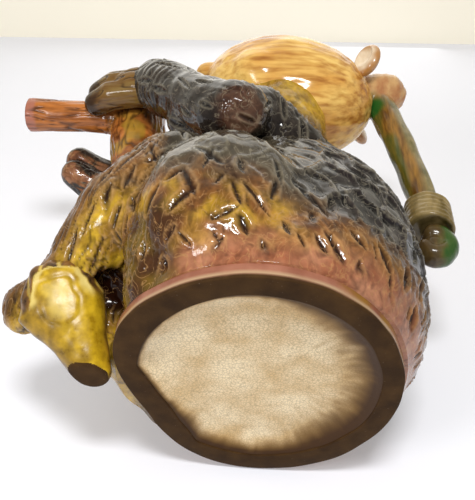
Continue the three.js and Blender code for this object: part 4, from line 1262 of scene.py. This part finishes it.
# Lamps: width and height in millimetres, and watts
OVERHEAD_LAMP = ((150, 80), 2.8)
WINDOW_LAMP = ((90, 160), 1.1)
FAR_LAMP = ((520, 420), 0.5)
LAMP_TARGET = Vector((0, 0, 90))
# How far each lamp is above its target or the table, nearer the camera, to the front and beyond the jug
OVERHEAD_UP = 550
OVERHEAD_NEAR = 290
WINDOW_UP = 330
WINDOW_NEAR = 420
WINDOW_FRONT = 380
FAR_UP = 240
FAR_BEYOND = 545


def one_sided(name, code, glow):
    """Matt pale surface that shows only from its front; a faint glow keeps it pale in weak light."""
    material, tree = new_material(name)
    cloud = add(tree, "TexNoise", {"Vector": pattern(tree, 90), "Scale": 1, "Detail": 2})
    shade = add(tree, "MapRange", {0: cloud, 3: 0.985, 4: 1.01})
    base = add(tree, "HueSaturation", {"Color": code, "Value": shade})
    matt = add(tree, "BsdfDiffuse", {"Color": base})
    light = add(tree, "Emission", {"Color": base, "Strength": glow})
    both = add(tree, "AddShader", {0: matt, 1: light})
    clear = add(tree, "BsdfTransparent")
    back = add(tree, "NewGeometry").outputs["Backfacing"]
    mixed = add(tree, "MixShader", {0: back, 1: both, 2: clear})
    add(tree, "OutputMaterial", {"Surface": mixed})
    return material


def stage_sheet(name, centre, up, forward, material):
    """A flat sheet in jug millimetres that faces up."""
    side = forward.cross(up).normalized()
    place = section(centre, side * SHEET_REACH, up.cross(side) * SHEET_REACH)
    bm = bmesh.new()
    bmesh.ops.create_grid(bm, x_segments=1, y_segments=1, size=1, matrix=place)
    bm.normal_update()
    face = next(iter(bm.faces))
    if face.normal.dot(up) < 0:
        bmesh.ops.reverse_faces(bm, faces=[face])
    mesh = bpy.data.meshes.new(name)
    bm.to_mesh(mesh)
    bm.free()
    mesh.transform(JUG_TO_FRAME)
    mesh.materials.append(material)
    made = bpy.data.objects.new(name, mesh)
    bpy.context.scene.collection.objects.link(made)
    return made


def area_light(name, place, target, size, watts):
    """A soft lamp that faces its target."""
    lamp = bpy.data.lights.new(name, "AREA")
    lamp.shape = "RECTANGLE"
    lamp.size = size[0] * MM
    lamp.size_y = size[1] * MM
    lamp.energy = watts
    made = bpy.data.objects.new(name, lamp)
    made.location = JUG_TO_FRAME @ place
    made.rotation_euler = (target - place).to_track_quat("-Z", "Y").to_euler()
    bpy.context.scene.collection.objects.link(made)


def build_camera():
    """The photo's camera: it looks at the foot of the jug, which lies on its right side."""
    scene = bpy.context.scene
    camera = bpy.data.cameras.new("photo_camera")
    camera.sensor_fit = "VERTICAL"
    camera.sensor_height = 36
    camera.lens = CAMERA_FOCUS_PIXELS / PHOTO_TALL_PIXELS * camera.sensor_height
    camera.clip_start = 10 * MM
    eye = bpy.data.objects.new("photo_camera", camera)
    eye.matrix_world = Matrix.Translation(JUG_TO_FRAME @ CAMERA_PLACE) @ CAMERA_TURN.to_4x4()
    scene.collection.objects.link(eye)
    scene.camera = eye
    scene.view_settings.view_transform = "Standard"


def build_room():
    """Table and wall of the photo, and a floor for the standing jug that lets light through from below."""
    table = one_sided("matt_white_table", "#e4e5eb", 0.2)
    wall = one_sided("matt_cream_wall", "#f1ebda", 0.2)
    stage_sheet("table", TABLE_TOUCH, TABLE_UP, TABLE_FORWARD, table)
    stage_sheet("wall", TABLE_TOUCH + TABLE_FORWARD * WALL_DISTANCE, -TABLE_FORWARD, TABLE_UP, wall)
    ground = one_sided("matt_pale_floor", "#eae8e4", 0.3)
    floor = stage_sheet("floor", Vector((0, 0, -FLOOR_DROP)), Vector((0, 0, 1)), Vector((0, 1, 0)), ground)
    for ray in ("diffuse", "glossy", "transmission", "volume_scatter", "shadow"):
        setattr(floor, "visible_" + ray, False)


def build_lamps():
    """Soft lamps overhead, at the bear's front and beyond the jug, and the pale light of a room."""
    overhead = LAMP_TARGET + TABLE_UP * OVERHEAD_UP - TABLE_FORWARD * OVERHEAD_NEAR
    area_light("overhead_softbox", overhead, LAMP_TARGET, *OVERHEAD_LAMP)
    window = LAMP_TARGET + TABLE_UP * WINDOW_UP - TABLE_FORWARD * WINDOW_NEAR - Vector((0, WINDOW_FRONT, 0))
    area_light("window_softbox", window, LAMP_TARGET, *WINDOW_LAMP)
    far = TABLE_TOUCH + TABLE_FORWARD * FAR_BEYOND + TABLE_UP * FAR_UP
    area_light("far_softbox", far, far - TABLE_FORWARD, *FAR_LAMP)
    world = bpy.data.worlds.new("pale_room")
    world.use_nodes = True
    world.node_tree.nodes.clear()
    sky = add(world.node_tree, "Background", {"Color": "#f2f0ee", "Strength": 0.4})
    add(world.node_tree, "OutputWorld", {"Surface": sky})
    bpy.context.scene.world = world


fur = fur_glaze()
liner = inner_glaze()
honey = honey_glaze()
twig = twig_glaze()
clay = bare_clay()
black = black_glaze()
pale = ear_glaze()

build_foot_ring(clay)
build_base(crazed_glaze())
build_coat(fur, liner)
build_arm("left_arm_sleeve", 1, LEFT_WRIST, fur, "left_arm")
build_arm("right_arm_sleeve", -1, RIGHT_WRIST, fur, "right_arm")
build_forepaw("left_paw_fingers", 1, LEFT_WRIST, LEFT_PAW_TIP, LEFT_FINGER, honey, "honey_glaze",
              "left_forepaw")
build_forepaw("right_paw_fingers", -1, RIGHT_WRIST, RIGHT_PAW_TIP, RIGHT_FINGER, fur, "grey_fur_glaze",
              "right_forepaw")
build_sole(sole_glaze(), clay)
build_branch(bark_glaze())
build_head(honey, liner)
build_face(black)
build_ear("left_ear", 1, pale)
build_ear("right_ear", -1, pale)
build_handle(twig)
build_binding(twig)
build_scroll(twig)
build_camera()
build_room()
build_lamps()
